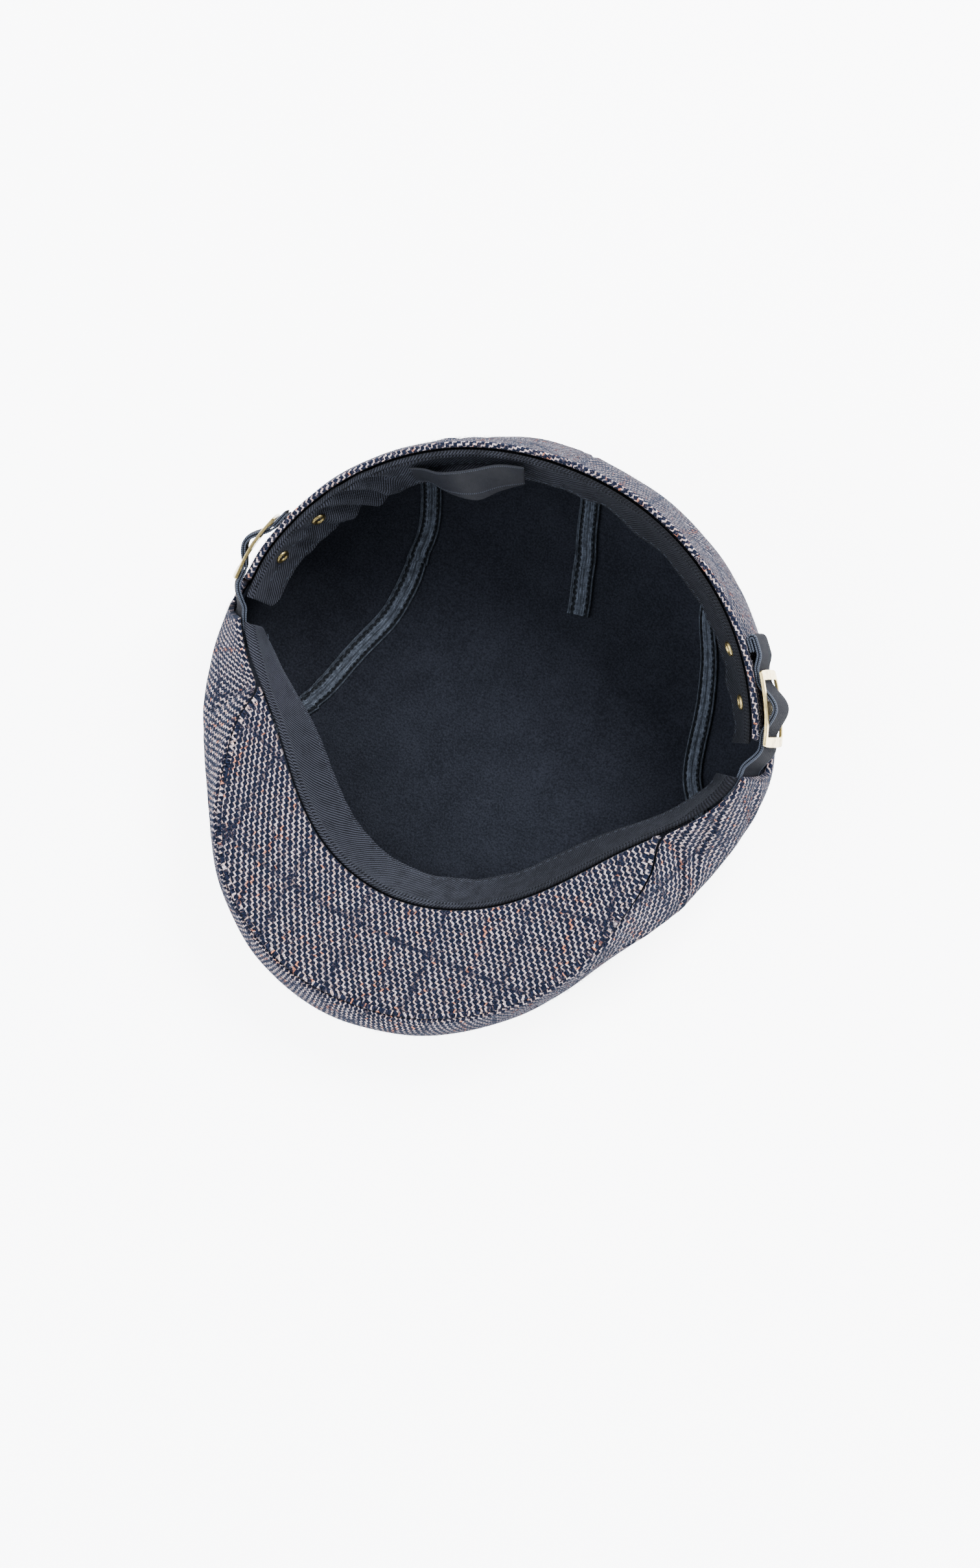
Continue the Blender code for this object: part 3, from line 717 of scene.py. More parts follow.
def shade(value, factor=1.0):
    """A colour's light times a factor, no part above 1, for a colour socket."""
    return tuple(min(part * factor, 1.0) for part in value) + (1.0,)


def tweed_finish(sizes, colours):
    """Light yarns in zigzag columns on a dark ground, with a faint check and orange flecks.

    A column is the whole part of the distance across over the columns' spacing. Its yarn swings
    from side to side with a lopsided triangle wave of the distance along, half a wave later from
    column to column, and is drawn as two strands on either side of that line. Pale wisps lie on the
    ground, and painted shade darkens the whole where the cloth is steep or faces down.
    """
    f = Finish("tweed", roughness=0.95, sheen_weight=0.06, sheen_roughness=0.5,
               sheen_tint=(0.66, 0.78, 1.0, 1.0), specular_ior_level=0.0)
    at, along, across = f.cloth()
    drift = f.noise(at, 150.0, 3.0)
    drift_2 = f.noise(f.scaled(at, 1.3, -0.8), 180.0, 3.0)
    across_2 = f.add(across, f.sway(drift, 0.0017), f.sway(f.noise(at, 900.0), 0.0006))
    along_2 = f.add(along, f.sway(drift_2, 0.0016))
    column = f.math("DIVIDE", across_2, sizes.yarn_columns)
    number = f.math("FLOOR", column)
    beat = f.add(f.math("DIVIDE", along_2, sizes.zigzag_pitch), f.times(number, 0.5))
    turn = f.math("FRACT", beat)
    swing = f.math("MINIMUM", f.math("DIVIDE", turn, 0.62), f.math("DIVIDE", f.less(1.0, turn), 0.38))
    line = f.sway(swing, sizes.zigzag_swing / sizes.yarn_columns)
    half = f.math("FLOOR", f.times(beat, 2.0))
    luck = f.chance(number, half)
    aside = f.add(f.less(f.less(f.math("FRACT", column), 0.5), line), f.sway(luck, 0.07))
    reach = f.math("ABSOLUTE", aside)
    strand = f.off(reach, 0.062)
    fray = f.noise(f.scaled(at, 1.0, 1.7), 2000.0, 3.0, 0.8)
    width = f.add(0.040, f.times(luck, 0.054), f.sway(fray, 0.42))
    body = f.step(f.less(width, strand), -0.055, 0.042)
    broken = f.step(fray, 0.36, 0.56, 0.22, 1.0)
    patchy = f.step(f.noise(at, 260.0), 0.33, 0.55, 0.75, 1.0)
    # Painted shade: the cloth is darkened where its normal points less upwards, on the steep walls and
    # where it faces down
    upward = f.split(f.node("ShaderNodeNewGeometry", "Normal", {}, {}))[2]
    steep_painted_shade = f.step(upward, 0.22, 0.62, 1.0, 0.0)
    light = f.times(body, broken, patchy, f.step(luck, -0.15, 0.5, 0.40, 1.0),
                    f.less(1.0, f.times(steep_painted_shade, 0.20)))

    across_check = f.add(f.times(along, 0.537), f.times(across, 0.877), 0.042)
    up_check = f.less(f.less(f.times(along, 0.877), f.times(across, 0.537)), 0.0925)
    stripes = []
    for value, pitch in ((across_check, sizes.pane_width), (up_check, sizes.pane_height)):
        cell = f.add(f.math("DIVIDE", value, pitch), 0.5)
        gap = f.add(f.times(f.off(f.math("FRACT", cell), 0.5), pitch), f.sway(drift_2, 0.0010))
        stripes.append(f.step(gap, 0.35 * sizes.pane_line, 0.75 * sizes.pane_line, 1.0, 0.0))
    dark = f.times(f.math("MAXIMUM", *stripes), f.step(luck, 0.2, 0.8, 0.95, 0.62))
    light = f.times(light, f.less(1.0, dark))

    ember_cell = f.math("FRACT", f.math("DIVIDE", across_check, sizes.pane_width))
    ember_gap = f.times(f.off(ember_cell, 0.56), sizes.pane_width)
    near = f.step(ember_gap, 0.0006, 0.0016, 1.0, 0.0)
    stray = f.step(f.chance(f.add(number, 37.0), half), 0.965, 0.98)
    ember = f.math("MAXIMUM", f.times(near, f.step(f.chance(half, number), 0.50, 0.58)), stray)

    speck = f.noise(at, 1900.0, 2.0, 0.6)
    cloudy = f.step(f.noise(at, 45.0, 3.0), 0.3, 0.75, 0.0, 0.35)
    wisps = f.math("MAXIMUM", f.noise(f.scaled(at, 0.3, 1.0), 1500.0, 2.0, 0.6),
                   f.noise(f.scaled(at, 1.0, 0.3), 1500.0, 2.0, 0.6))
    ground = f.tones(f.step(speck, 0.36, 0.66), colours.ground, 0.25, 3.0)
    ground = f.blend(cloudy, ground, shade(colours.ground, 1.5))
    ground = f.blend(f.step(wisps, 0.60, 0.76, 0.0, 0.38), ground, shade(colours.yarn, 0.35))
    fibre = f.noise(f.scaled(at, 1.0, 1.8), 4200.0, 2.0, 0.7)
    twist = f.step(f.add(f.times(fray, 0.5), f.times(fibre, 0.6)), 0.42, 0.66)
    warm = f.step(f.chance(half, f.add(number, 11.0)), 0.62, 0.80, 0.0, 0.55)
    yarn = f.blend(warm, f.tones(twist, colours.yarn, 0.30, 1.25), shade(colours.blush))
    yarn = f.blend(f.times(ember, 0.85), yarn, shade(colours.ember))
    # The colour is blended towards a darker ground by the painted shade of steep cloth
    f.colour(f.blend(f.times(steep_painted_shade, 0.62), f.blend(light, ground, yarn), shade(colours.ground, 0.5)))
    height = f.add(f.times(f.step(reach, 0.0, 0.30, 1.0, 0.0), 0.7), f.times(speck, 0.5),
                   f.times(light, 0.25))
    f.relief(height, 0.00042, 0.9)
    return f.material


def fleece_finish(colours):
    """Brushed lining: two depths of one dark colour, mottled coarse and fine, with a fuzzy relief."""
    f = Finish("fleece", roughness=1.0, sheen_weight=0.03, sheen_roughness=0.6,
               sheen_tint=(0.7, 0.8, 1.0, 1.0), specular_ior_level=0.0)
    at = f.place()
    coarse, fine = f.noise(at, 70.0, 3.0, 0.6), f.noise(at, 1300.0, 3.0, 0.7)
    mottle = f.step(f.add(f.times(coarse, 0.30), fine), 0.42, 0.92)
    f.colour(f.tones(mottle, colours.fleece, 0.55, 1.55))
    f.relief(f.add(fine, f.times(f.noise(at, 320.0), 0.8)), 0.0005, 0.8)
    return f.material


def twill_finish(sizes, colours):
    """Ribbed band: ribs that cross it at a slant, each broken into short floats.

    The ribs lie flatter in the narrow strip at the rim. The crease below that strip and the band's
    upper edge are darkened by painted shade, and painted light and shade make the band lighter on
    the left of the cap and darker to the right and to the back.
    """
    f = Finish("twill", roughness=0.8, sheen_weight=0.05, sheen_roughness=0.4,
               sheen_tint=(0.75, 0.83, 1.0, 1.0), specular_ior_level=0.08)
    at, along, across = f.cloth()
    drift = f.sway(f.noise(at, 60.0), 0.0016)
    slow = f.add(f.times(f.math("MINIMUM", across, sizes.band_strip), 0.55), f.times(across, 0.45))
    rib = f.math("DIVIDE", f.add(f.times(along, -0.7), slow, drift), sizes.rib_pitch)
    float_at = f.math("DIVIDE", f.add(along, f.times(across, 0.5)), 0.0008)
    beat = f.add(float_at, f.times(f.math("FLOOR", rib), 0.5))
    weave = f.times(f.step(f.math("PINGPONG", rib, 0.5), 0.10, 0.40),
                    f.step(f.math("PINGPONG", beat, 0.5), 0.02, 0.28, 0.60, 1.0))
    worn = f.step(f.noise(f.place(), 190.0, 3.0, 0.6), 0.28, 0.72, 0.40, 1.20)
    # Painted shade: the band is darkened in the crease below its narrow strip and at its upper edge by the
    # crown
    crease = f.step(f.off(across, sizes.band_strip + 0.0004), 0.0003, 0.0010, 0.05, 1.0)
    edge_painted_shade = f.step(across, 0.0, 0.0006, 0.3, 1.0)
    # Painted light and shade: the band is lighter on the left of the cap and darker to the right and to the
    # back
    to_right, to_back, _ = f.split(f.place())
    tone = f.times(weave, worn, crease, edge_painted_shade, f.step(to_back, -0.01, 0.05, 1.0, 0.55),
                   f.step(to_right, -0.07, 0.05, 2.4, 0.45))
    f.colour(f.tones(tone, colours.twill, 0.18, 1.9))
    f.relief(weave, 0.0004, 1.0)
    return f.material


def tape_finish(colours):
    """Woven tape: a pale ribbed middle, toothed dark rows where it is sewn, and narrow pale edges."""
    f = Finish("tape", roughness=0.85, sheen_weight=0.05, sheen_roughness=0.4,
               sheen_tint=(0.75, 0.85, 1.0, 1.0), specular_ior_level=0.03)
    at, along, across = f.cloth()
    off_middle = f.off(across, TAPE_WIDTH / 2)
    tooth = f.times(f.less(f.ridge(along, 0.0022), 0.25), 0.0012)
    streak = f.noise(f.scaled(at, 0.12, 1.0), 2600.0, 2.0, 0.7)
    weave = f.times(f.step(f.ridge(across, 0.0011), 0.05, 0.4, 0.6, 1.0),
                    f.step(f.ridge(along, 0.0009), 0.0, 0.3, 0.86, 1.0),
                    f.step(streak, 0.3, 0.62, 0.35, 1.15))
    inner = f.times(f.step(f.add(off_middle, tooth), 0.0020, 0.0026, 1.0, 0.0),
                    f.step(off_middle, 0.0001, 0.0009, 0.5, 1.0))
    outer = f.times(f.step(off_middle, 0.0033, 0.0038), 0.55)
    worn = f.step(f.noise(f.place(), 420.0, 3.0, 0.65), 0.3, 0.7, 0.45, 1.0)
    f.colour(f.tones(f.times(weave, f.math("MAXIMUM", inner, outer), worn), colours.tape, 0.12, 2.0))
    f.relief(f.add(weave, inner), 0.0004, 0.9)
    return f.material


def satin_finish(colours):
    """Bare woven label: fine cross threads with a row of pale picks inside both long edges."""
    f = Finish("satin", roughness=0.5, sheen_weight=0.03, sheen_roughness=0.3,
               specular_ior_level=0.15, anisotropic=0.4)
    at, along, across = f.cloth()
    inside = f.less(LABEL_SPAN / 2, f.off(across, LABEL_SPAN / 2))
    row = f.times(f.step(inside, 0.0003, 0.0006), f.step(inside, 0.0008, 0.0011, 1.0, 0.0))
    dots = f.times(row, f.step(f.ridge(along, 0.0008), 0.2, 0.3))
    thread = f.ridge(f.add(along, f.times(across, 0.6)), 0.0004)
    fine = f.noise(f.scaled(at, 1.0, 0.15), 2600.0)
    tone = f.step(f.add(f.times(thread, 0.7), f.times(fine, 0.5)), 0.1, 0.8)
    base = f.tones(tone, colours.satin, 0.65, 1.35)
    f.colour(f.blend(f.times(dots, 0.8), base, shade(colours.thread, 1.3)))
    f.relief(f.add(thread, dots), 0.00012, 0.7)
    return f.material


def elastic_finish(sizes, colours):
    """Ribbed elastic: cross ribs along the strap, and a pale twisted cord on both long edges."""
    f = Finish("elastic", roughness=0.8, specular_ior_level=0.02)
    _, along, across = f.cloth()
    picks = f.ridge(f.add(along, across), sizes.bead_pitch)
    inside = f.less(STRAP_WIDTH / 2, f.off(across, STRAP_WIDTH / 2))
    hem = f.step(inside, 0.0008, 0.0014, 1.0, 0.0)
    weave = f.times(f.step(f.ridge(across, 0.0009), 0.05, 0.4), f.step(picks, 0.0, 0.35, 0.55, 1.0))
    cord = f.tones(f.step(picks, 0.02, 0.40), colours.thread, 0.4, 1.6)
    f.colour(f.blend(hem, f.tones(weave, colours.elastic, 0.2, 1.0), cord))
    f.relief(f.add(weave, f.times(hem, picks)), 0.00025, 0.8)
    return f.material


def brass_finish(colours):
    """Antique brass: brushed lengthwise, browned in patches, with painted shade on the left of the cap."""
    f = Finish("antique_brass", metallic=1.0, specular_ior_level=0.5, anisotropic=0.3)
    at = f.place()
    brushed = f.noise(f.scaled(at, 1.0, 0.12), 5200.0)
    patina = f.noise(at, 230.0, 4.0, 0.62)
    # Painted shade: brass on the left of the cap is darker
    painted_left_shade = f.tones(f.step(f.split(at)[0], -0.06, 0.06), colours.brass, 0.30, 1.0)
    tone = f.blend(f.step(patina, 0.42, 0.72, 0.0, 0.75), painted_left_shade, shade(colours.brass, 0.22))
    f.colour(f.blend(f.step(brushed, 0.3, 0.8, 0.0, 0.30), tone, shade(colours.brass, 1.25)))
    f.join(f.shader.inputs["Roughness"], f.step(patina, 0.3, 0.8, 0.24, 0.46))
    f.relief(f.add(brushed, patina), 0.00008, 0.6)
    return f.material


def thread_finish(name, value):
    """Twisted sewing thread: slanting plies over its length."""
    f = Finish(name, roughness=0.7, specular_ior_level=0.1)
    _, along, across = f.cloth()
    ply = f.math("PINGPONG", f.add(f.times(along, 3.0), across), 0.5)
    f.colour(f.tones(f.step(ply, 0.05, 0.4), value, 0.45, 1.25))
    f.relief(ply, 0.0001, 0.8)
    return f.material


def plain_finish(name, value):
    """One dull colour all over."""
    return Finish(name, base_color=shade(value), roughness=0.9, specular_ior_level=0.0).material


def finish(context, name):
    """A material of the cap, made when it is first asked for."""
    sizes, colours = context.scene.cap_sizes, context.scene.cap_colours
    wanted = {
        "tweed": lambda: tweed_finish(sizes, colours),
        "fleece": lambda: fleece_finish(colours),
        "twill": lambda: twill_finish(sizes, colours),
        "tape": lambda: tape_finish(colours),
        "satin": lambda: satin_finish(colours),
        "elastic": lambda: elastic_finish(sizes, colours),
        "antique_brass": lambda: brass_finish(colours),
        "thread": lambda: thread_finish(name, colours.thread),
        "dark_thread": lambda: thread_finish(name, [part * 0.12 for part in colours.thread]),
        "nap": lambda: plain_finish(name, colours.nap),
    }
    return bpy.data.materials.get(f"cap_{name}") or wanted[name]()


def dress(context, piece, slot, *nodes, look=None):
    """Hang a piece on the cap in place of solids, in its slot's finish unless a look is named."""
    piece.data.materials.append(finish(context, look or slot))
    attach(piece, "root")
    if nodes:
        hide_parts(*nodes)
    return piece


def crown_columns(step_degrees):
    """Angles round the head from the back seam on, closer together at the two notches."""
    even = np.arange(BACK_SEAM - 360, BACK_SEAM, step_degrees)
    aside = np.linspace(-1.5, 1.5, 41) * NOTCH_HALF_WIDTH
    near = [np.degrees(beside_notch(side, aside)) for side in NOTCH_ANGLES]
    angles = np.sort(np.concatenate([even, *near]))
    spaced = np.concatenate([[True], np.diff(angles) > 0.06])
    return np.radians(angles[spaced])


def panel_run(angle):
    """Run of the seam between the side panels and the top panel."""
    return smooth_column(PANEL_SEAM, PANEL_COLUMNS, "run", np.degrees(from_front(angle)))


def way_down(angle, run):
    """Angles, and for each the distances down the crown from its edge to each run and to its middle.

    The first column comes once more at the end, a full turn on, to close a ring of cloth. A
    distance is the length of straight steps, 40 to a run.
    """
    angle, run = np.append(angle, angle[0] + 2 * math.pi), np.concatenate([run, run[:1]])
    steps = 120
    lengths = paths(skin(angle[:, None], np.linspace(0, 3, steps + 1)[None, :]), 1)
    at = run / 3 * steps
    index = np.clip(at.astype(int), 0, steps - 1)
    row = np.arange(len(angle))[:, None]
    first, second = lengths[row, index], lengths[row, index + 1]
    return angle, first + (second - first) * (at - index), lengths[:, -1:]


def side_cloth(angle, down):
    """Cloth coordinates of the side panels, laid off from a line a little below the rim.

    The line's own place in the cloth is the sum of its steps turned by the grain, and a point below
    it lies square to it by its distance.
    """
    turn = np.radians(np.interp(np.degrees(angle), *zip(*GRAIN)))
    line = skin(angle, 0.4)
    step = np.concatenate([[0.0], np.linalg.norm(np.diff(line, axis=0), axis=-1)])
    below = down - CLOTH_LEVEL
    along = np.cumsum(np.cos(turn) * step)[:, None] + below * np.sin(turn)[:, None]
    across = -np.cumsum(np.sin(turn) * step)[:, None] + below * np.cos(turn)[:, None]
    return np.stack([along, across], axis=-1)


def top_cloth(angle, down, total):
    """Cloth coordinates of the top panel: its middle's distance laid off in each direction."""
    reach = total - down
    return np.stack([-reach * np.cos(angle)[:, None], reach * np.sin(angle)[:, None]], axis=-1)


def groove(distance, width):
    """A narrow dent: the bell curve of the distance over the width."""
    return np.exp(-((distance / width) ** 2))


def crown_wrinkles(angle, run, down, size):
    """How far the loose cloth stands out: soft waves, and creases beside the corners of the peak.

    A crease is a groove on a slanting line with a lower ridge beside it, eased at both its ends.
    """
    degrees = np.degrees(wrapped(angle))[:, None]
    soft = 0.8 * waves(degrees / 16, down / 0.016, 5) + 0.35 * waves(degrees / 7, down / 0.008, 8)
    total = soft * size * ease(down / 0.010) * ease((2.0 - run) / 0.35)
    for at, slant, start, end, depth in CREASES:
        middle = at + slant * (down - start) / (end - start)
        inside = ease((down - start + 0.004) / 0.006) * ease((end - down) / 0.012)
        away = np.radians(degrees - middle) * 0.10
        ridge = 0.6 * groove(away - 0.0045, 0.0026)
        total = total + depth * (ridge - groove(away, 0.0022)) * inside
    return total


def make_crown(sizes):
    """Tweed shell with a rolled edge: its middle is set in from the outer face by half its wall.

    A seam is a narrow groove in a soft swelling. The cloth coordinates go on round the rolled edge:
    they gain the arc of its quarter circle less the drop, and run on up the inside.
    """
    angle = crown_columns(0.8)
    start = (notch_drop(angle) / side_depth(angle))[:, None]
    depth = side_depth(angle)[:, None] * 1.15
    seam = panel_run(angle)[:, None]
    near_rim = np.array([0.0, 0.00012, 0.00035, 0.0007, 0.0011, 0.0016, 0.0022])[None, :] / depth
    near_seam = np.array([-0.0022, -0.0013, -0.0007, -0.0003, 0.0, 0.0003, 0.0007, 0.0013, 0.0022])
    near_seam = seam + near_seam[None, :] / np.maximum(depth, 0.030)
    first = start + near_rim
    upper = first[:, -1:] + (near_seam[:, :1] - first[:, -1:]) * np.linspace(0, 1, 24)[None, 1:-1]
    lower = near_seam[:, -1:] + (2.0 - near_seam[:, -1:]) * np.linspace(0, 1, 24)[None, 1:]
    rest = np.broadcast_to(2.0 + np.linspace(0, 1, 7)[None, 1:], (len(angle), 6))
    run = np.concatenate([first, upper, near_seam, lower, rest], axis=1)
    closed, down, total = way_down(angle, run)
    degrees = np.degrees(angle)[:, None]
    sewn = ease((np.abs(degrees) - PANEL_START + 2) / 5)
    off_seam = (run - seam) * np.maximum(depth, 0.030)
    relief = crown_wrinkles(angle, run, down[:-1], sizes.wrinkle)
    relief = relief + sewn * (0.00045 * groove(off_seam, 0.004) - 0.0011 * groove(off_seam, 0.0008))
    off_back = wrapped(np.radians(degrees - BACK_SEAM)) * HEAD_RADIUS
    above = ease((seam - run) / 0.04)
    relief = relief + above * (0.00035 * groove(off_back, 0.004) - 0.0010 * groove(off_back, 0.0008))
    relief = np.where(run >= 2.0, 0.0, relief)
    off_edge = (run - start) * depth
    half = CROWN_WALL / 2 * edge_taper(off_edge, RIM_ROUND)
    middle = wall(angle[:, None], run, -CROWN_WALL / 2)
    normal = outward(angle[:, None], run)
    outer = middle + (half + np.where(off_edge < 0.001, 0, relief))[..., None] * normal
    inner = middle - half[..., None] * normal
    drop = down - down[:, :1]
    turned = np.arccos(np.clip(1 - drop / RIM_ROUND, 0, 1))
    rolled = RIM_ROUND * (turned - np.minimum(drop / RIM_ROUND, 1))
    ways = (down + rolled, down[:, :1] - drop - rolled)
    cloth = np.stack([[side_cloth(closed, way) for way in ways],
                      [top_cloth(closed, way, total) for way in ways]])
    seam_row = first.shape[1] + upper.shape[1] + near_seam.shape[1] // 2
    on_top = (np.arange(run.shape[1] - 1)[None, :] >= seam_row) | (np.abs(degrees) < PANEL_START)
    return slab("crown_tweed", outer, inner, cloth, panel=on_top.astype(int), ring=True, pole=True)


def make_lining():
    """Thin shell inside the tweed, from behind the sweatband all over the hollow.

    Its inner face stands in by the size of a wave, so that it is a little uneven.
    """
    angle = crown_columns(1.5)
    start = (lining_drop(angle) / side_depth(angle))[:, None]
    upper = start + (1.2 - start) * np.linspace(0, 1, 26)[None, :-1]
    lower = np.broadcast_to(np.linspace(1.2, 2.0, 18)[None, :-1], (len(angle), 17))
    rest = np.broadcast_to(np.linspace(2.0, 3.0, 8)[None, :], (len(angle), 8))
    run = np.concatenate([upper, lower, rest], axis=1)
    face = -CROWN_WALL - LINING_GAP
    lift = np.abs(waves(np.degrees(angle)[:, None] / 20, run * 2.4, 21)) * 0.0002
    outer = wall(angle[:, None], run, face)
    inner = wall(angle[:, None], run, face - LINING_WALL - lift)
    return slab("lining_fleece", outer, inner, top_cloth(*way_down(angle, run)), ring=True, pole=True)


def view_axes():
    """Unit vectors of the photograph's camera: from the cap to it, to its right and up."""
    to_eye = unit(np.array([math.tan(VIEW_ASIDE), math.tan(VIEW_BACK), 1.0]))
    flat_right = unit(np.cross([0.0, 1.0, 0.0], to_eye))
    flat_up = np.cross(to_eye, flat_right)
    right = math.cos(VIEW_ROLL) * flat_right + math.sin(VIEW_ROLL) * flat_up
    return to_eye, right, -math.sin(VIEW_ROLL) * flat_right + math.cos(VIEW_ROLL) * flat_up


def peak_cloth(points):
    """Cloth coordinates of the peak: its yarn columns lean and spread a little to the right.

    With s and t the shares across and forward, the distance across is x less a reach times
    (0.15 t + 0.12 s t - 0.035 s t t), and the one along is square to it.
    """
    _, right, up = view_axes()
    x, y = (points - HEAD_CENTRE) @ right, -(points - HEAD_CENTRE) @ up
    width, reach = 0.063, 0.0302
    s, t = (x + 0.0242) / width, (y - 0.0756) / reach
    across = x - reach * (0.15 * t + 0.12 * s * t - 0.035 * s * t**2)
    along = y + width * (0.15 * s + 0.06 * s**2 - 0.035 * s**2 * t)
    return np.stack([along, across], axis=-1)


def make_peak():
    """Stiff crescent from the opening's front to the crown's edge.

    Its radius and height go straight from edge to edge, plus a bow of four times share times
    (1 - share), and it thins with the square of the share. Its half thickness is negative because
    the grid's normal points down.
    """
    end = PEAK_ANGLE - PEAK_END_MARGIN * 0.3
    angle = np.linspace(-end, end, 301)[:, None]
    ends = np.array([0.0, 0.003, 0.008, 0.015, 0.023, 0.032, 0.042, 0.054, 0.068])
    share = np.concatenate([ends, np.linspace(0.09, 0.91, 26), 1 - ends[::-1]])[None, :]
    inner_radius = opening_radius(angle)
    outer_radius, outer_height = edge(angle)
    span = outer_radius + 0.0007 - inner_radius
    radius = inner_radius + span * share
    bow = PEAK_BOW * form("overhang", angle) * 4 * share * (1 - share)
    height = rim_height(angle) + (outer_height - rim_height(angle)) * share + bow
    thick = PEAK_THICKNESS + (PEAK_EDGE_THICKNESS - PEAK_THICKNESS) * share**2
    slope = np.hypot(span, outer_height - rim_height(angle))
    off_edge = np.minimum(share, 1 - share) * slope
    off_end = (end - np.abs(angle)) * inner_radius
    half = thick / 2 * edge_taper(np.minimum(off_edge, off_end + 0.0001), 0.0006)
    uneven = waves(np.degrees(angle) / 14, share * 3, 31) * 0.00022 * ease(off_edge / 0.004)
    off_outer = (1 - share) * slope
    hem = 0.0003 * groove(off_outer - 0.0009, 0.0006) - 0.0004 * groove(off_outer - 0.0021, 0.0006)
    middle = place(angle, radius, height - thick / 2 + uneven + hem)
    return sheet_of("peak_tweed", middle, -half, peak_cloth(middle))


def band_relief(angle, depth, strip):
    """How far the sweatband stands in from its plain face, at a depth below its upper edge.

    A round strip at the rim, a crease, the turned edge of the wide strip, and loose waves below,
    which are calmer at the label and the rivets. Puckers lie beside the label, and in front of the
    left notch the band's lower edge is drawn back.
    """
    degrees = np.degrees(wrapped(angle))
    rolled = 0.0006 * np.sin(np.clip(depth / strip, 0, 1) * math.pi) ** 0.8
    crease = -0.0010 * groove(depth - strip - 0.0004, 0.0005)
    turned = 0.0007 * groove(depth - strip - 0.0019, 0.0013)
    loose = ease((depth - 0.008) / 0.016)
    slow = 0.55 * waves(degrees / 9, depth / 0.016, 41) + 0.30 * waves(degrees / 4, depth / 0.010, 44)
    at_label = ease((degrees + 180) / 4) * ease((-138 - degrees) / 5)
    rivets = sum(groove(degrees - math.degrees(at + math.copysign(offset / 0.104, at)), 2.2)
                 for at in NOTCH_ANGLES.values() for offset in RIVET_OFFSETS)
    calm = (1 - 0.85 * at_label) * (1 - np.clip(rivets, 0, 1) * 0.8)
    puckers = 0.0017 * np.sin(degrees * 0.9 + depth * 380) * groove(degrees + 132, 14)
    size = 0.0004 + 0.0008 * ease((np.abs(degrees) - 100) / 20)
    uneven = (size * slow + 0.0002) * loose + puckers * ease(depth / 0.008)
    drawn = np.where(degrees > -98, ease((-72 - degrees) / 20), 0) * (depth / BAND_WIDTH) ** 1.2
    return rolled + crease + turned + uneven * calm - 0.0055 * drawn


def band_surface(angle, depth, strip, inside=0.0):
    """The sweatband's middle, at a depth below its upper edge, which lies against the crown."""
    back = (BAND_GAP * 0.6 + strap_room(angle)) * (1 - ease(depth / 0.0016))
    relief = band_relief(angle, depth, strip)
    return band_face(angle, depth / BAND_WIDTH, BAND_WALL / 2 + relief + inside - back)


def make_band(name, start, end, columns, strip):
    """One run of the sweatband between two angles, round at its edges and its ends.

    Towards its end at the left notch it gets narrower, by the square of the share left.
    """
    angle = np.linspace(start, end, columns)[:, None]
    close = np.array([0.0, 0.00015, 0.0004, 0.0008])
    fold = strip + np.array([-0.0005, -0.0001, 0.0002, 0.0004, 0.0007, 0.0011, 0.0016, 0.0022, 0.003])
    depth = np.concatenate([close, [0.0012], fold, np.linspace(strip + 0.0042, BAND_WIDTH - 0.0012, 22),
                            BAND_WIDTH - close[::-1]])[None, :]
    off_end = np.minimum(angle - start, end - angle) * 0.1
    off_edge = np.minimum(np.minimum(depth, BAND_WIDTH - depth), off_end + 0.00005)
    left = (end - angle) / 0.05 if start > 0 else (angle - start) / 0.10
    narrowed = 0.15 if start > 0 else 0.30
    depth = depth * (1 - narrowed * (1 - np.clip(left, 0, 1)) ** 2)
    middle = band_surface(angle, depth, strip)
    cloth = arc_cloth(middle)
    cloth[..., 1] = depth
    return sheet_of(name, middle, BAND_WALL / 2 * edge_taper(off_edge, 0.0006), cloth)


def make_sweatband(strip):
    """The band in two runs, along the back of the head and along the front."""
    clear = NOTCH_HALF_WIDTH / HEAD_RADIUS
    right, left = NOTCH_ANGLES["right"], NOTCH_ANGLES["left"]
    back = make_band("sweatband_back_twill", right + clear * 0.8, 2 * math.pi + left - clear * 0.25,
                     420, strip)
    front = make_band("sweatband_front_twill", left + clear, right - clear, 520, strip)
    return back, front


def smooth_route(route, count):
    """Points at even spacing on a cubic through a route's points."""
    points = np.array(route, float)
    rows = [(float(knot), *point) for knot, point in enumerate(points)]
    at = np.linspace(0, len(points) - 1, count)
    names = ("angle",) + tuple(range(points.shape[1]))
    return np.stack([smooth_column(rows, names, axis, at) for axis in range(points.shape[1])], axis=-1)


def tape_line(route, count, sides):
    """Angles and runs beside a route, at distances across it, as wide everywhere."""
    line = smooth_route(route, count)
    angle, run = np.radians(line[:, 0]), line[:, 1]
    step = 1e-3
    by_angle = (skin(angle + step, run) - skin(angle - step, run)) / (2 * step)
    by_run = (skin(angle, run + step) - skin(angle, run - step)) / (2 * step)
    along = by_angle * np.gradient(angle)[:, None] + by_run * np.gradient(run)[:, None]
    across = unit(np.cross(outward(angle, run), along))
    shift = np.linalg.pinv(np.stack([by_angle, by_run], axis=-1)) @ across[..., None]
    return angle[:, None] + shift[:, 0] * sides, run[:, None] + shift[:, 1] * sides


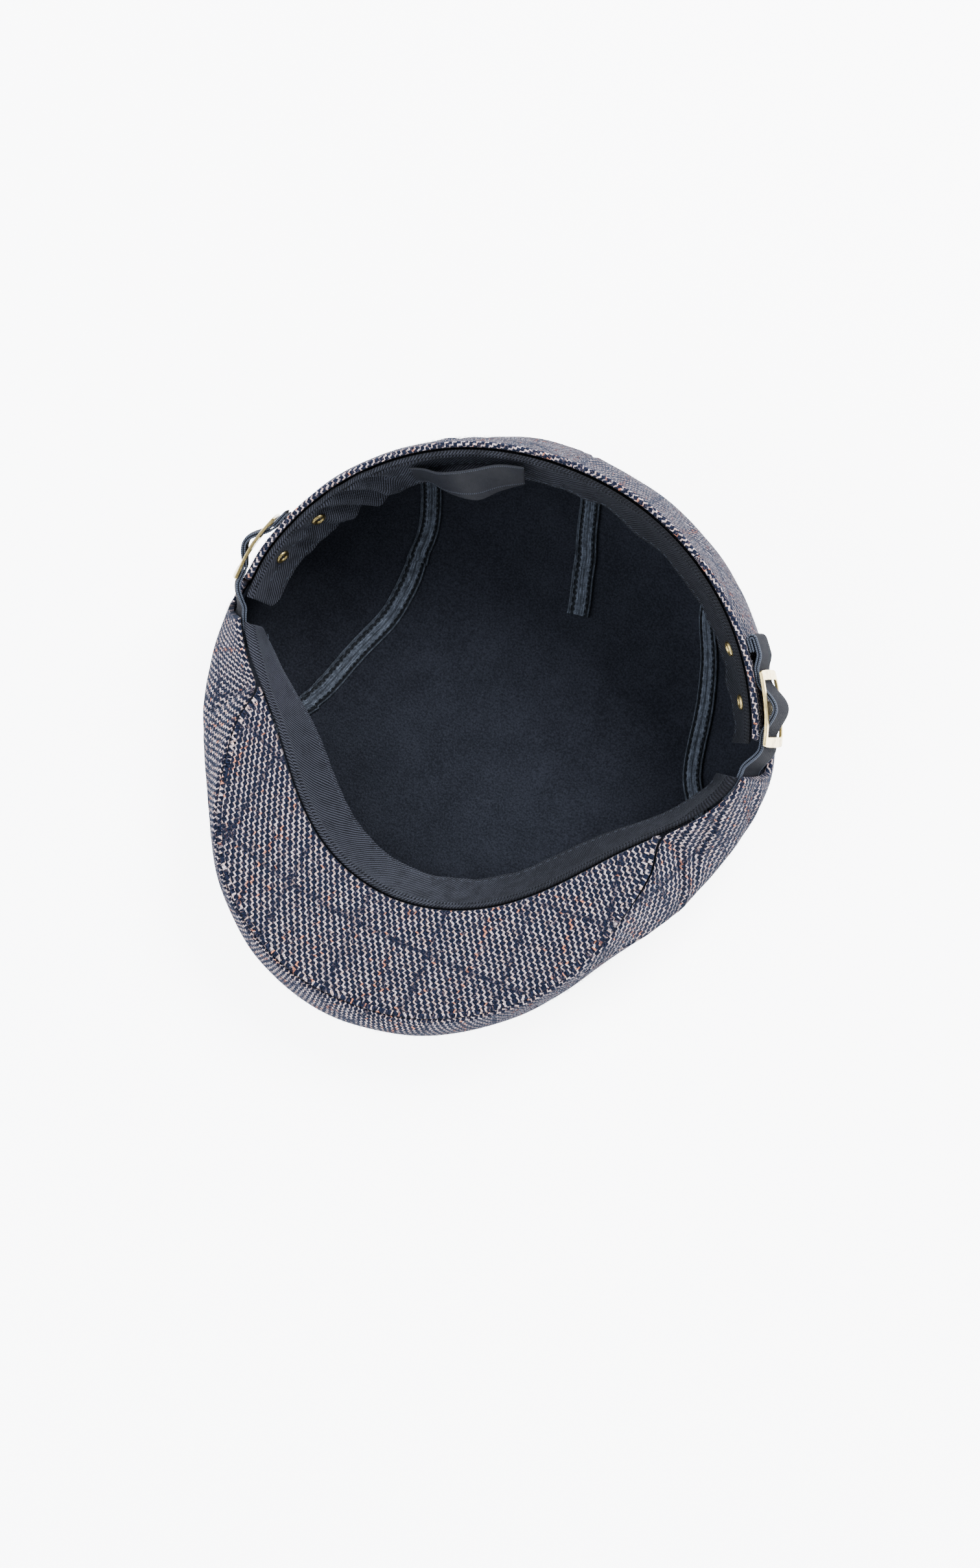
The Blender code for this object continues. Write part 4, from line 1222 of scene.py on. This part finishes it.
def make_tape(name, route, count):
    """A tape along its route over the lining: a raised middle and a sewn groove by each edge."""
    half = TAPE_WIDTH / 2
    close = half - np.array([0.0, 0.0002, 0.0005])
    sides = np.concatenate([-close, np.linspace(-half + 0.001, half - 0.001, 27), close[::-1]])
    angles, runs = tape_line(route, count, sides)
    face = -CROWN_WALL - LINING_GAP - LINING_WALL - TAPE_GAP
    ribs = 0.0004 * groove(np.abs(sides) - 0.0013, 0.0009) - 0.0003 * groove(np.abs(sides) - 0.0029, 0.0004)
    round_edge = edge_taper(half - np.abs(sides), 0.0005)
    inner = wall(angles, runs, face - TAPE_WALL / 2 - (TAPE_WALL / 2 + ribs) * round_edge)
    outer = wall(angles, runs, face - TAPE_WALL / 2 + TAPE_WALL / 2 * round_edge)
    return slab(name, outer, inner, arc_cloth(inner))


def label_surface(share_along, share_down):
    """The label's middle, at shares of the way along it and down it.

    Down it, its distance from the sweatband goes straight from that of its upper to its lower edge.
    """
    degrees = LABEL[0][0] + (LABEL[-1][0] - LABEL[0][0]) * share_along
    rows = [(-row[0],) + row[1:] for row in LABEL]
    upper, lower, below = (LABEL_WIDTH * smooth_column(rows, LABEL_COLUMNS, name, -degrees)
                           for name in LABEL_COLUMNS[1:])
    depth = below + LABEL_SPAN * share_down
    stand = np.maximum(upper + (lower - upper) * share_down, 0.0002) + 0.0003
    return band_face(np.radians(degrees), depth / BAND_WIDTH, BAND_WALL + stand + LABEL_WALL / 2)


def make_label():
    """A bare satin tag, sewn on at one end and waving over the sweatband."""
    along = np.concatenate([[0, 0.003, 0.01], np.linspace(0.02, 0.98, 90), [0.99, 0.997, 1]])[:, None]
    down = np.concatenate([[0, 0.01, 0.03], np.linspace(0.06, 0.94, 22), [0.97, 0.99, 1]])[None, :]
    middle = label_surface(along, down)
    size = 0.015 * np.minimum(down, 1 - down) + 0 * along
    half = LABEL_WALL / 2 * 0.7 * edge_taper(np.minimum(size, 0.045 * np.minimum(along, 1 - along)), 0.0004)
    return sheet_of("label_satin", middle, half, arc_cloth(middle))


def buckle_stations():
    """Distances along the rim of the buckle's ends and slots."""
    steps = (BUCKLE_END_BAR, BUCKLE_SLOT, BUCKLE_MIDDLE_BAR, BUCKLE_SLOT, BUCKLE_END_BAR)
    return BUCKLE_OFFSET + np.concatenate([[0.0], np.cumsum(steps)])


def strap_line(side):
    """The strap's middle line beside the rim, eased from level to level.

    It starts behind the front of the crown, crosses the notch, runs under the buckle's end bar, out
    over its middle bar and back under, and the long one folds back under itself.
    """
    _, slot_a, bar_a, bar_b, slot_b, end = buckle_stations()
    behind = -CROWN_WALL - 2 * GAP - STRAP_THICKNESS / 2
    under = GAP + STRAP_THICKNESS / 2
    over = 2 * GAP + STRAP_THICKNESS + BUCKLE_THICKNESS + LOOP_RISE + STRAP_THICKNESS / 2
    reach = BUCKLE_TO_END[side]
    fold = end + reach
    folded = reach > STRAP_TAIL
    second = under + STRAP_THICKNESS + GAP if folded else under
    levels = np.array([(-NOTCH_HALF_WIDTH - STRAP_TUCK, behind), (-NOTCH_HALF_WIDTH * 0.7, behind),
                       (NOTCH_HALF_WIDTH * 0.7, under), (slot_a, under), ((bar_a + bar_b) / 2, over),
                       (slot_b, under), (end, under), (end + reach * 0.55, second), (fold, second)])
    along = np.linspace(levels[0, 0], fold, 260)
    index = np.clip(np.searchsorted(levels[:, 0], along, side="right") - 1, 0, len(levels) - 2)
    share = (along - levels[index, 0]) / (levels[index + 1, 0] - levels[index, 0])
    out = levels[index, 1] + (levels[index + 1, 1] - levels[index, 1]) * ease(share)
    line = np.stack([along, out], axis=-1)
    if not folded:
        return line
    turn = np.linspace(math.pi / 2, -math.pi / 2, 15)[1:]
    radius = (second - under) / 2
    bend = np.stack([fold + radius * np.cos(turn), under + radius + radius * np.sin(turn)], axis=-1)
    tail = np.stack([fold - STRAP_TAIL * np.linspace(0, 1, 12)[1:], np.full(11, under)], axis=-1)
    return np.concatenate([line, bend, tail])


def strap_layer(side, way, bead_pitch):
    """One of a strap's two layers: its line moved aside, swept down the wall, with beaded edges."""
    line = strap_line(side)
    tangent = unit(np.gradient(line, axis=0))
    normal = np.stack([-tangent[:, 1], tangent[:, 0]], axis=-1)
    path = paths(line)
    close = np.array([0.0, 0.00012, 0.0003, 0.0006, 0.0009, 0.0013, 0.0018])
    drop = np.concatenate([close, np.linspace(0.0030, STRAP_WIDTH - 0.0030, 7), STRAP_WIDTH - close[::-1]])
    hem = ease((0.0014 - np.minimum(drop, STRAP_WIDTH - drop)) / 0.0006)[None, :]
    bead = 0.5 + 0.5 * np.cos(path / bead_pitch * 2 * math.pi + (0 if way > 0 else 1.7))[:, None]
    off_end = np.minimum(path, path[-1] - path)[:, None]
    half = 0.00036 * (1 + hem * (0.22 * bead - 0.05))
    half = half * edge_taper(np.minimum(np.minimum(drop, STRAP_WIDTH - drop)[None, :], off_end), 0.00045)
    drops = STRAP_BELOW_RIM + drop[None, :]

    def face(out):
        """The layer's points at a distance out from the strap's middle line."""
        along = line[:, :1] + out * normal[:, :1]
        return on_rim(side, along, drops, line[:, 1:] + out * normal[:, 1:])

    aside = way * 0.00052
    cloth = np.stack(np.broadcast_arrays(path[:, None], drop[None, :]), axis=-1)
    return slab_parts(face(aside + half), face(aside - half), cloth)


def make_strap(side, bead_pitch):
    """Both layers of a strap in one mesh object."""
    (points, parts), (more_points, more_parts) = (strap_layer(side, way, bead_pitch) for way in (1, -1))
    parts = parts + [(corners + len(points), cloth) for corners, cloth in more_parts]
    return shape(f"strap_{side}_elastic", np.concatenate([points, more_points]), parts)


def make_buckle(side):
    """A curved plate with two slots and a middle bar, lying along the rim over the strap.

    Its corners are drawn in by the sixth power of the shares to its ends and its long edges, and it
    arches by one less the square of the share.
    """
    stations = buckle_stations()
    top = STRAP_BELOW_RIM - BUCKLE_RAIL - GAP
    foot = STRAP_BELOW_RIM + STRAP_WIDTH + BUCKLE_RAIL + GAP
    levels = np.array([top, top + BUCKLE_RAIL, foot - BUCKLE_RAIL, foot])
    fine = 4
    along = np.interp(np.arange(5 * fine + 1) / fine, np.arange(6), stations)
    down = np.interp(np.arange(3 * fine + 1) / fine, np.arange(4), levels)
    solid = np.ones((5 * fine, 3 * fine), bool)
    for slot in (1, 3):
        solid[slot * fine:(slot + 1) * fine, fine:2 * fine] = False
    a, d = np.meshgrid(along, down, indexing="ij")
    middle_a, middle_d = (stations[0] + stations[-1]) / 2, (top + foot) / 2
    half_a, half_d = stations[-1] - middle_a, foot - middle_d
    corner = ((a - middle_a) / half_a * (d - middle_d) / half_d) ** 6
    a = middle_a + (a - middle_a) * (1 - 0.045 * corner)
    d = middle_d + (d - middle_d) * (1 - 0.040 * corner)
    low = 2 * GAP + STRAP_THICKNESS + 0.0003 * (1 - ((a - middle_a) / half_a) ** 2)
    inner = on_rim(side, a, d, low)
    outer = on_rim(side, a, d, low + BUCKLE_THICKNESS)
    columns, rows = a.shape
    shift = columns * rows
    i, j = np.nonzero(solid)
    cell = np.stack([i * rows + j, i * rows + j + 1, (i + 1) * rows + j + 1, (i + 1) * rows + j], axis=-1)
    faces = [cell, shift + cell[:, ::-1]]
    padded = np.pad(solid, 1)
    for k, (di, dj) in enumerate(((-1, 0), (0, 1), (1, 0), (0, -1))):
        open_side = ~padded[i + 1 + di, j + 1 + dj]
        first, second = cell[open_side, k], cell[open_side, (k + 1) % 4]
        faces.append(np.stack([second, first, shift + first, shift + second], axis=-1))
    corners = np.concatenate(faces)
    used, renumbered = np.unique(corners, return_inverse=True)
    points = np.concatenate([outer.reshape(-1, 3), inner.reshape(-1, 3)])[used]
    corners = renumbered.reshape(-1, 4)
    plate = shape(f"buckle_{side}_plate", points, [(corners, np.zeros(corners.shape + (2,)))])
    bevel = plate.modifiers.new("rounded_edges", "BEVEL")
    bevel.width = 0.00028
    bevel.segments = 3
    bevel.limit_method = "ANGLE"
    bevel.angle_limit = math.radians(50)
    return plate


def turned_profile(centre, sideways, upright, out, profile):
    """A ring turned from a closed profile of radius and lift about a centre, as points and faces."""
    segments, count = 36, len(profile)
    turn = np.arange(segments) * 2 * math.pi / segments
    spoke = np.cos(turn)[:, None] * sideways + np.sin(turn)[:, None] * upright
    radius, lift = np.array(profile).T
    points = centre + radius[None, :, None] * spoke[:, None, :] + lift[None, :, None] * out
    corners = tube_faces(segments + 1, count) % (segments * count)
    return points.reshape(-1, 3), [(corners, np.zeros(corners.shape + (2,)))]


def make_rivet(side, number, offset, strip):
    """A domed eyelet on the sweatband, where the strap's end is fastened through the rim.

    Its dome is half a turn of cosine across and a power of sine up.
    """
    angle = beside_notch(side, offset)
    depth = STRAP_BELOW_RIM + STRAP_WIDTH / 2
    share, step = depth / BAND_WIDTH, 1e-3
    seat = band_surface(angle, depth, strip, BAND_WALL / 2 + 0.00012)
    sideways = unit(band_face(angle + step, share) - band_face(angle - step, share))
    down = band_face(angle, share + step) - band_face(angle, share - step)
    out = unit(np.cross(sideways, down))
    if out @ (seat - HEAD_CENTRE) > 0:
        out = -out
    middle, half = (RIVET_RADIUS + RIVET_HOLE) / 2, (RIVET_RADIUS - RIVET_HOLE) / 2
    profile = [(middle + half * math.cos(turned), RIVET_THICKNESS * math.sin(turned) ** 0.8)
               for turned in np.linspace(0, math.pi, 13)]
    profile += [(RIVET_HOLE, -0.0006), (RIVET_HOLE + 0.0003, -0.0006), (RIVET_RADIUS - 0.0003, -0.0002)]
    return shape(f"rivet_{side}_{number}_eyelet",
                 *turned_profile(seat, sideways, np.cross(out, sideways), out, profile))


def stitch_row(points, normals, sizes):
    """Centres, ways along and ways up of stitches laid at an even pitch on a line of points."""
    path, lift = paths(points), 0.00008
    at = np.arange(sizes.stitch_pitch / 2, path[-1] - sizes.stitch_pitch / 4, sizes.stitch_pitch)

    def spot(distance, values):
        """Values at distances along the line, straight between its points."""
        return np.stack([np.interp(distance, path, values[:, k]) for k in range(3)], axis=-1)

    up = unit(spot(at, normals))
    ahead, behind = spot(at + sizes.stitch / 2, points), spot(at - sizes.stitch / 2, points)
    return (ahead + behind) / 2 + up * lift, unit(ahead - behind), up


def make_stitches(name, rows, sizes):
    """Sewing stitches as one mesh: six-sided capsules whose ends dip into the cloth.

    Along each one from -1 to 1 the radius is the square root of one less an eighth power, and the
    dip grows with the fourth power. Each has five rings of points and a tip at both ends.
    """
    centre, along, up = (np.concatenate(column) for column in zip(*rows))
    stations = np.array([-0.86, -0.5, 0.0, 0.5, 0.86])
    radius = sizes.thread / 2 * np.sqrt(1 - np.abs(stations) ** 8)
    turn = np.arange(6) * math.pi / 3
    ring = np.cos(turn)[:, None, None] * up + np.sin(turn)[:, None, None] * np.cross(along, up)
    dip = sizes.thread * 0.9 * stations**4
    body = (centre + stations[:, None, None, None] * along * sizes.stitch / 2
            - dip[:, None, None, None] * up + radius[:, None, None, None] * ring)
    tips = np.stack([centre + way * along * sizes.stitch / 2 - up * sizes.thread for way in (-1, 1)])
    body = body.transpose(2, 0, 1, 3).reshape(len(centre), 30, 3)
    points = np.concatenate([body, tips.transpose(1, 0, 2)], axis=1)
    j = np.arange(6)
    first = np.stack([(j + 1) % 6, j, np.full(6, 30)], axis=-1)
    last = np.stack([24 + j, 24 + (j + 1) % 6, np.full(6, 31)], axis=-1)
    each = np.arange(32)
    cloth = np.stack([each // 6, each % 6 / 6], axis=-1)
    return copies(name, points, (tube_faces(5, 6), np.concatenate([first, last])), cloth)


def band_line(start, end, depth, count, strip):
    """A line of points along the sweatband's inner face, with its normals, which point inwards."""
    angle = np.linspace(start, end, count)
    points = band_surface(angle, depth, strip, BAND_WALL / 2)
    below = band_surface(angle, depth + 0.0005, strip, BAND_WALL / 2)
    normal = unit(np.cross(np.gradient(points, axis=0), below - points))
    inward = HEAD_CENTRE + np.array([0, 0, 0.06]) - points
    return points, normal * np.sign(np.einsum("ij,ij->i", normal, inward))[:, None]


def tape_edge_line(route, aside):
    """A line of points along a tape's face, at a distance beside its middle, with its normals."""
    angles, runs = (values[:, 0] for values in tape_line(route, 260, np.array([aside])))
    face = -CROWN_WALL - LINING_GAP - LINING_WALL - TAPE_GAP - TAPE_WALL - 0.00005
    return wall(angles, runs, face), -outward(angles, runs)


def make_hairs(sizes):
    """Loose hairs of the brushed tweed: three-sided spikes that lean over and thin out.

    Each starts on the outer face at a random place and leans along the cloth in a random way.
    """
    draw = np.random.default_rng(HAIR_SEED)
    angle = draw.uniform(-math.pi, math.pi, HAIR_COUNT)
    run = draw.uniform(0.02, 1.35, HAIR_COUNT)
    keep = run > notch_drop(angle) / side_depth(angle) + 0.02
    angle, run = angle[keep], run[keep]
    root, normal = wall(angle, run, -0.0001), outward(angle, run)
    over = unit(np.cross(normal, draw.normal(size=root.shape)))
    size = sizes.nap * draw.uniform(0.35, 1.0, len(root))[:, None]
    lean = draw.uniform(0.2, 1.3, len(root))[:, None]
    bend = unit(np.cross(over, normal)) * draw.uniform(-0.5, 0.5, len(root))[:, None]
    middle = root + size * 0.5 * unit(normal + 0.4 * lean * over)
    tip = middle + size * 0.5 * unit(normal * 0.5 + lean * over + bend)
    thick = 0.00004
    turn = np.arange(3) * 2 * math.pi / 3
    ring = np.cos(turn)[:, None, None] * np.cross(normal, over) + np.sin(turn)[:, None, None] * over
    points = np.concatenate([root + thick * ring, middle + thick * 0.8 * ring, tip[None]])
    j = np.arange(3)
    ends = np.concatenate([np.stack([3 + j, 3 + (j + 1) % 3, np.full(3, 6)], axis=-1), [[2, 1, 0]]])
    return copies("tweed_nap", points.transpose(1, 0, 2), (tube_faces(2, 3), ends), np.zeros((7, 2)),
                  smooth=False)


class Maker:
    """What the operators share: they need the scene's sizes and colours."""

    bl_options = {"REGISTER", "UNDO"}

    @classmethod
    def poll(cls, context):
        return hasattr(context.scene, "cap_sizes")


class CAP_OT_crown(Maker, bpy.types.Operator):
    """Make the tweed crown"""

    bl_idname = "cap.make_crown"
    bl_label = "Crown"

    def execute(self, context):
        dress(context, make_crown(context.scene.cap_sizes), "tweed", "crown")
        return {"FINISHED"}


class CAP_OT_peak(Maker, bpy.types.Operator):
    """Make the tweed peak"""

    bl_idname = "cap.make_peak"
    bl_label = "Peak"

    def execute(self, context):
        dress(context, make_peak(), "tweed", "peak")
        return {"FINISHED"}


class CAP_OT_lining(Maker, bpy.types.Operator):
    """Make the brushed lining"""

    bl_idname = "cap.make_lining"
    bl_label = "Lining"

    def execute(self, context):
        dress(context, make_lining(), "fleece", "lining")
        return {"FINISHED"}


class CAP_OT_sweatband(Maker, bpy.types.Operator):
    """Make the two runs of the sweatband"""

    bl_idname = "cap.make_sweatband"
    bl_label = "Sweatband"

    def execute(self, context):
        back, front = make_sweatband(context.scene.cap_sizes.band_strip)
        dress(context, back, "twill", "sweatband_back")
        dress(context, front, "twill", "sweatband_front")
        return {"FINISHED"}


class CAP_OT_tapes(Maker, bpy.types.Operator):
    """Make the tapes over the lining's seams"""

    bl_idname = "cap.make_tapes"
    bl_label = "Seam tapes"

    def execute(self, context):
        for node, route in TAPE_ROUTES.items():
            dress(context, make_tape(f"{node}_woven", route, 20 * len(route)), "tape", node)
        return {"FINISHED"}


class CAP_OT_label(Maker, bpy.types.Operator):
    """Make the bare satin label"""

    bl_idname = "cap.make_label"
    bl_label = "Label"

    def execute(self, context):
        piece = dress(context, make_label(), "satin", "label")
        return {"FINISHED"}


class CAP_OT_straps(Maker, bpy.types.Operator):
    """Make the two elastic straps"""

    bl_idname = "cap.make_straps"
    bl_label = "Straps"

    def execute(self, context):
        for side in NOTCH_ANGLES:
            piece = make_strap(side, context.scene.cap_sizes.bead_pitch)
            dress(context, piece, "elastic", f"strap_{side}")
        return {"FINISHED"}


class CAP_OT_buckles(Maker, bpy.types.Operator):
    """Make the two brass buckles"""

    bl_idname = "cap.make_buckles"
    bl_label = "Buckles"

    def execute(self, context):
        for side in NOTCH_ANGLES:
            dress(context, make_buckle(side), "antique_brass", f"buckle_{side}")
        return {"FINISHED"}


class CAP_OT_rivets(Maker, bpy.types.Operator):
    """Make the four eyelets on the sweatband"""

    bl_idname = "cap.make_rivets"
    bl_label = "Rivets"

    def execute(self, context):
        strip = context.scene.cap_sizes.band_strip
        for side in NOTCH_ANGLES:
            for number, offset in enumerate(RIVET_OFFSETS, start=1):
                dress(context, make_rivet(side, number, offset, strip), "antique_brass",
                      f"rivet_{side}_{number}")
        return {"FINISHED"}


class CAP_OT_sewing(Maker, bpy.types.Operator):
    """Make the stitches on the sweatband and the tapes"""

    bl_idname = "cap.make_sewing"
    bl_label = "Sewing"

    def execute(self, context):
        sizes = context.scene.cap_sizes
        strip = sizes.band_strip
        right, left = NOTCH_ANGLES["right"], NOTCH_ANGLES["left"]
        back_end = 2 * math.pi + left - ROW_END
        lines = ((left + ROW_END, right - ROW_END, LOWER_ROW, 500),
                 (right + ROW_END, back_end, LOWER_ROW, 500),
                 (UPPER_ROW_START, back_end, UPPER_ROW, 220))
        rows = [stitch_row(*band_line(*line, strip), sizes) for line in lines]
        dress(context, make_stitches("band_stitches", rows, sizes), "twill", look="thread")
        rows = [stitch_row(*tape_edge_line(route, aside), sizes)
                for route in TAPE_ROUTES.values() for aside in (-TAPE_ROW, TAPE_ROW)]
        dress(context, make_stitches("tape_stitches", rows, sizes), "tape", look="dark_thread")
        return {"FINISHED"}


class CAP_OT_nap(Maker, bpy.types.Operator):
    """Make the loose hairs on the tweed"""

    bl_idname = "cap.make_nap"
    bl_label = "Nap"

    def execute(self, context):
        dress(context, make_hairs(context.scene.cap_sizes), "tweed", look="nap")
        return {"FINISHED"}


def add_light(name, place_at, size, power, tint):
    """A square soft light that faces the cap."""
    lamp = bpy.data.lights.new(name, "AREA")
    lamp.size = size
    lamp.energy = power
    lamp.color = tint
    made = bpy.data.objects.new(name, lamp)
    bpy.context.collection.objects.link(made)
    aim(made, place_at, VIEW_TARGET)


def aim(thing, place_at, target, up=(0.0, 0.0, 1.0)):
    """Put an object at a point with its -Z axis to a target and its +Y axis nearest to up."""
    back = unit(np.array(place_at, float) - target)
    right = unit(np.cross(up, back))
    axes = np.stack([right, np.cross(back, right), back], axis=1)
    rows = [list(map(float, axes[i])) + [float(place_at[i])] for i in range(3)]
    thing.matrix_world = type(thing.matrix_world)(rows + [[0.0, 0.0, 0.0, 1.0]])


class CAP_OT_stage(Maker, bpy.types.Operator):
    """Make the pale floor, the soft lights and the camera"""

    bl_idname = "cap.make_stage"
    bl_label = "Stage"

    def execute(self, context):
        colours = context.scene.cap_colours
        mesh = bpy.data.meshes.new("floor")
        corners = [(FLOOR_REACH * x, FLOOR_REACH * y, 0) for x, y in ((-1, -1), (1, -1), (1, 1), (-1, 1))]
        mesh.from_pydata(corners, [], [(0, 1, 2, 3)])
        floor = bpy.data.objects.new("floor", mesh)
        bpy.context.collection.objects.link(floor)
        f = Finish("floor", base_color=shade(colours.floor, 0.92), roughness=0.9, specular_ior_level=0.0,
                   emission_color=STUDIO_TINT, emission_strength=FLOOR_GLOW)
        mesh.materials.append(f.material)

        world = bpy.data.worlds.new("studio")
        world.use_nodes = True
        background = world.node_tree.nodes["Background"]
        background.inputs["Color"].default_value = STUDIO_TINT
        background.inputs["Strength"].default_value = STUDIO_STRENGTH
        context.scene.world = world

        to_eye, right, up = view_axes()
        for name, (aside, above, ahead), size, power, tint in LIGHTS:
            spot = VIEW_TARGET + aside * right + above * up + ahead * to_eye
            add_light(name, spot, size, power, tint)

        lens = bpy.data.cameras.new("photo_camera")
        lens.lens = VIEW_LENS
        lens.sensor_width = 36.0
        lens.shift_x, lens.shift_y = VIEW_SHIFT
        lens.clip_start, lens.clip_end = 0.05, 30.0
        camera = bpy.data.objects.new("photo_camera", lens)
        bpy.context.collection.objects.link(camera)
        aim(camera, VIEW_TARGET + VIEW_DISTANCE * to_eye, VIEW_TARGET, up)
        context.scene.camera = camera
        return {"FINISHED"}


OPERATORS = (CAP_OT_crown, CAP_OT_peak, CAP_OT_lining, CAP_OT_sweatband, CAP_OT_tapes, CAP_OT_label,
             CAP_OT_straps, CAP_OT_buckles, CAP_OT_rivets, CAP_OT_sewing, CAP_OT_nap, CAP_OT_stage)


class CAP_PT_panel(bpy.types.Panel):
    """Sidebar panel with the cap's sizes, colours and makers"""

    bl_idname = "CAP_PT_panel"
    bl_label = "Tweed golf cap"
    bl_space_type = "VIEW_3D"
    bl_region_type = "UI"
    bl_category = "Cap"

    def draw(self, context):
        layout = self.layout
        for group in (context.scene.cap_sizes, context.scene.cap_colours):
            box = layout.box()
            for name in group.bl_rna.properties.keys():
                if name not in {"rna_type", "name"}:
                    box.prop(group, name)
        for operator in OPERATORS:
            layout.operator(operator.bl_idname)


CLASSES = (CapSizes, CapColours, *OPERATORS, CAP_PT_panel)


def register():
    """Make the classes known and give each scene its sizes and colours."""
    for known in CLASSES:
        bpy.utils.register_class(known)
    bpy.types.Scene.cap_sizes = bpy.props.PointerProperty(type=CapSizes)
    bpy.types.Scene.cap_colours = bpy.props.PointerProperty(type=CapColours)


def unregister():
    """Take back what register gave."""
    del bpy.types.Scene.cap_colours
    del bpy.types.Scene.cap_sizes
    for known in reversed(CLASSES):
        bpy.utils.unregister_class(known)


def main():
    """Make every piece and the stage."""
    register()
    for operator in OPERATORS:
        group, name = operator.bl_idname.split(".")
        getattr(getattr(bpy.ops, group), name)()


if __name__ == "__main__":
    main()
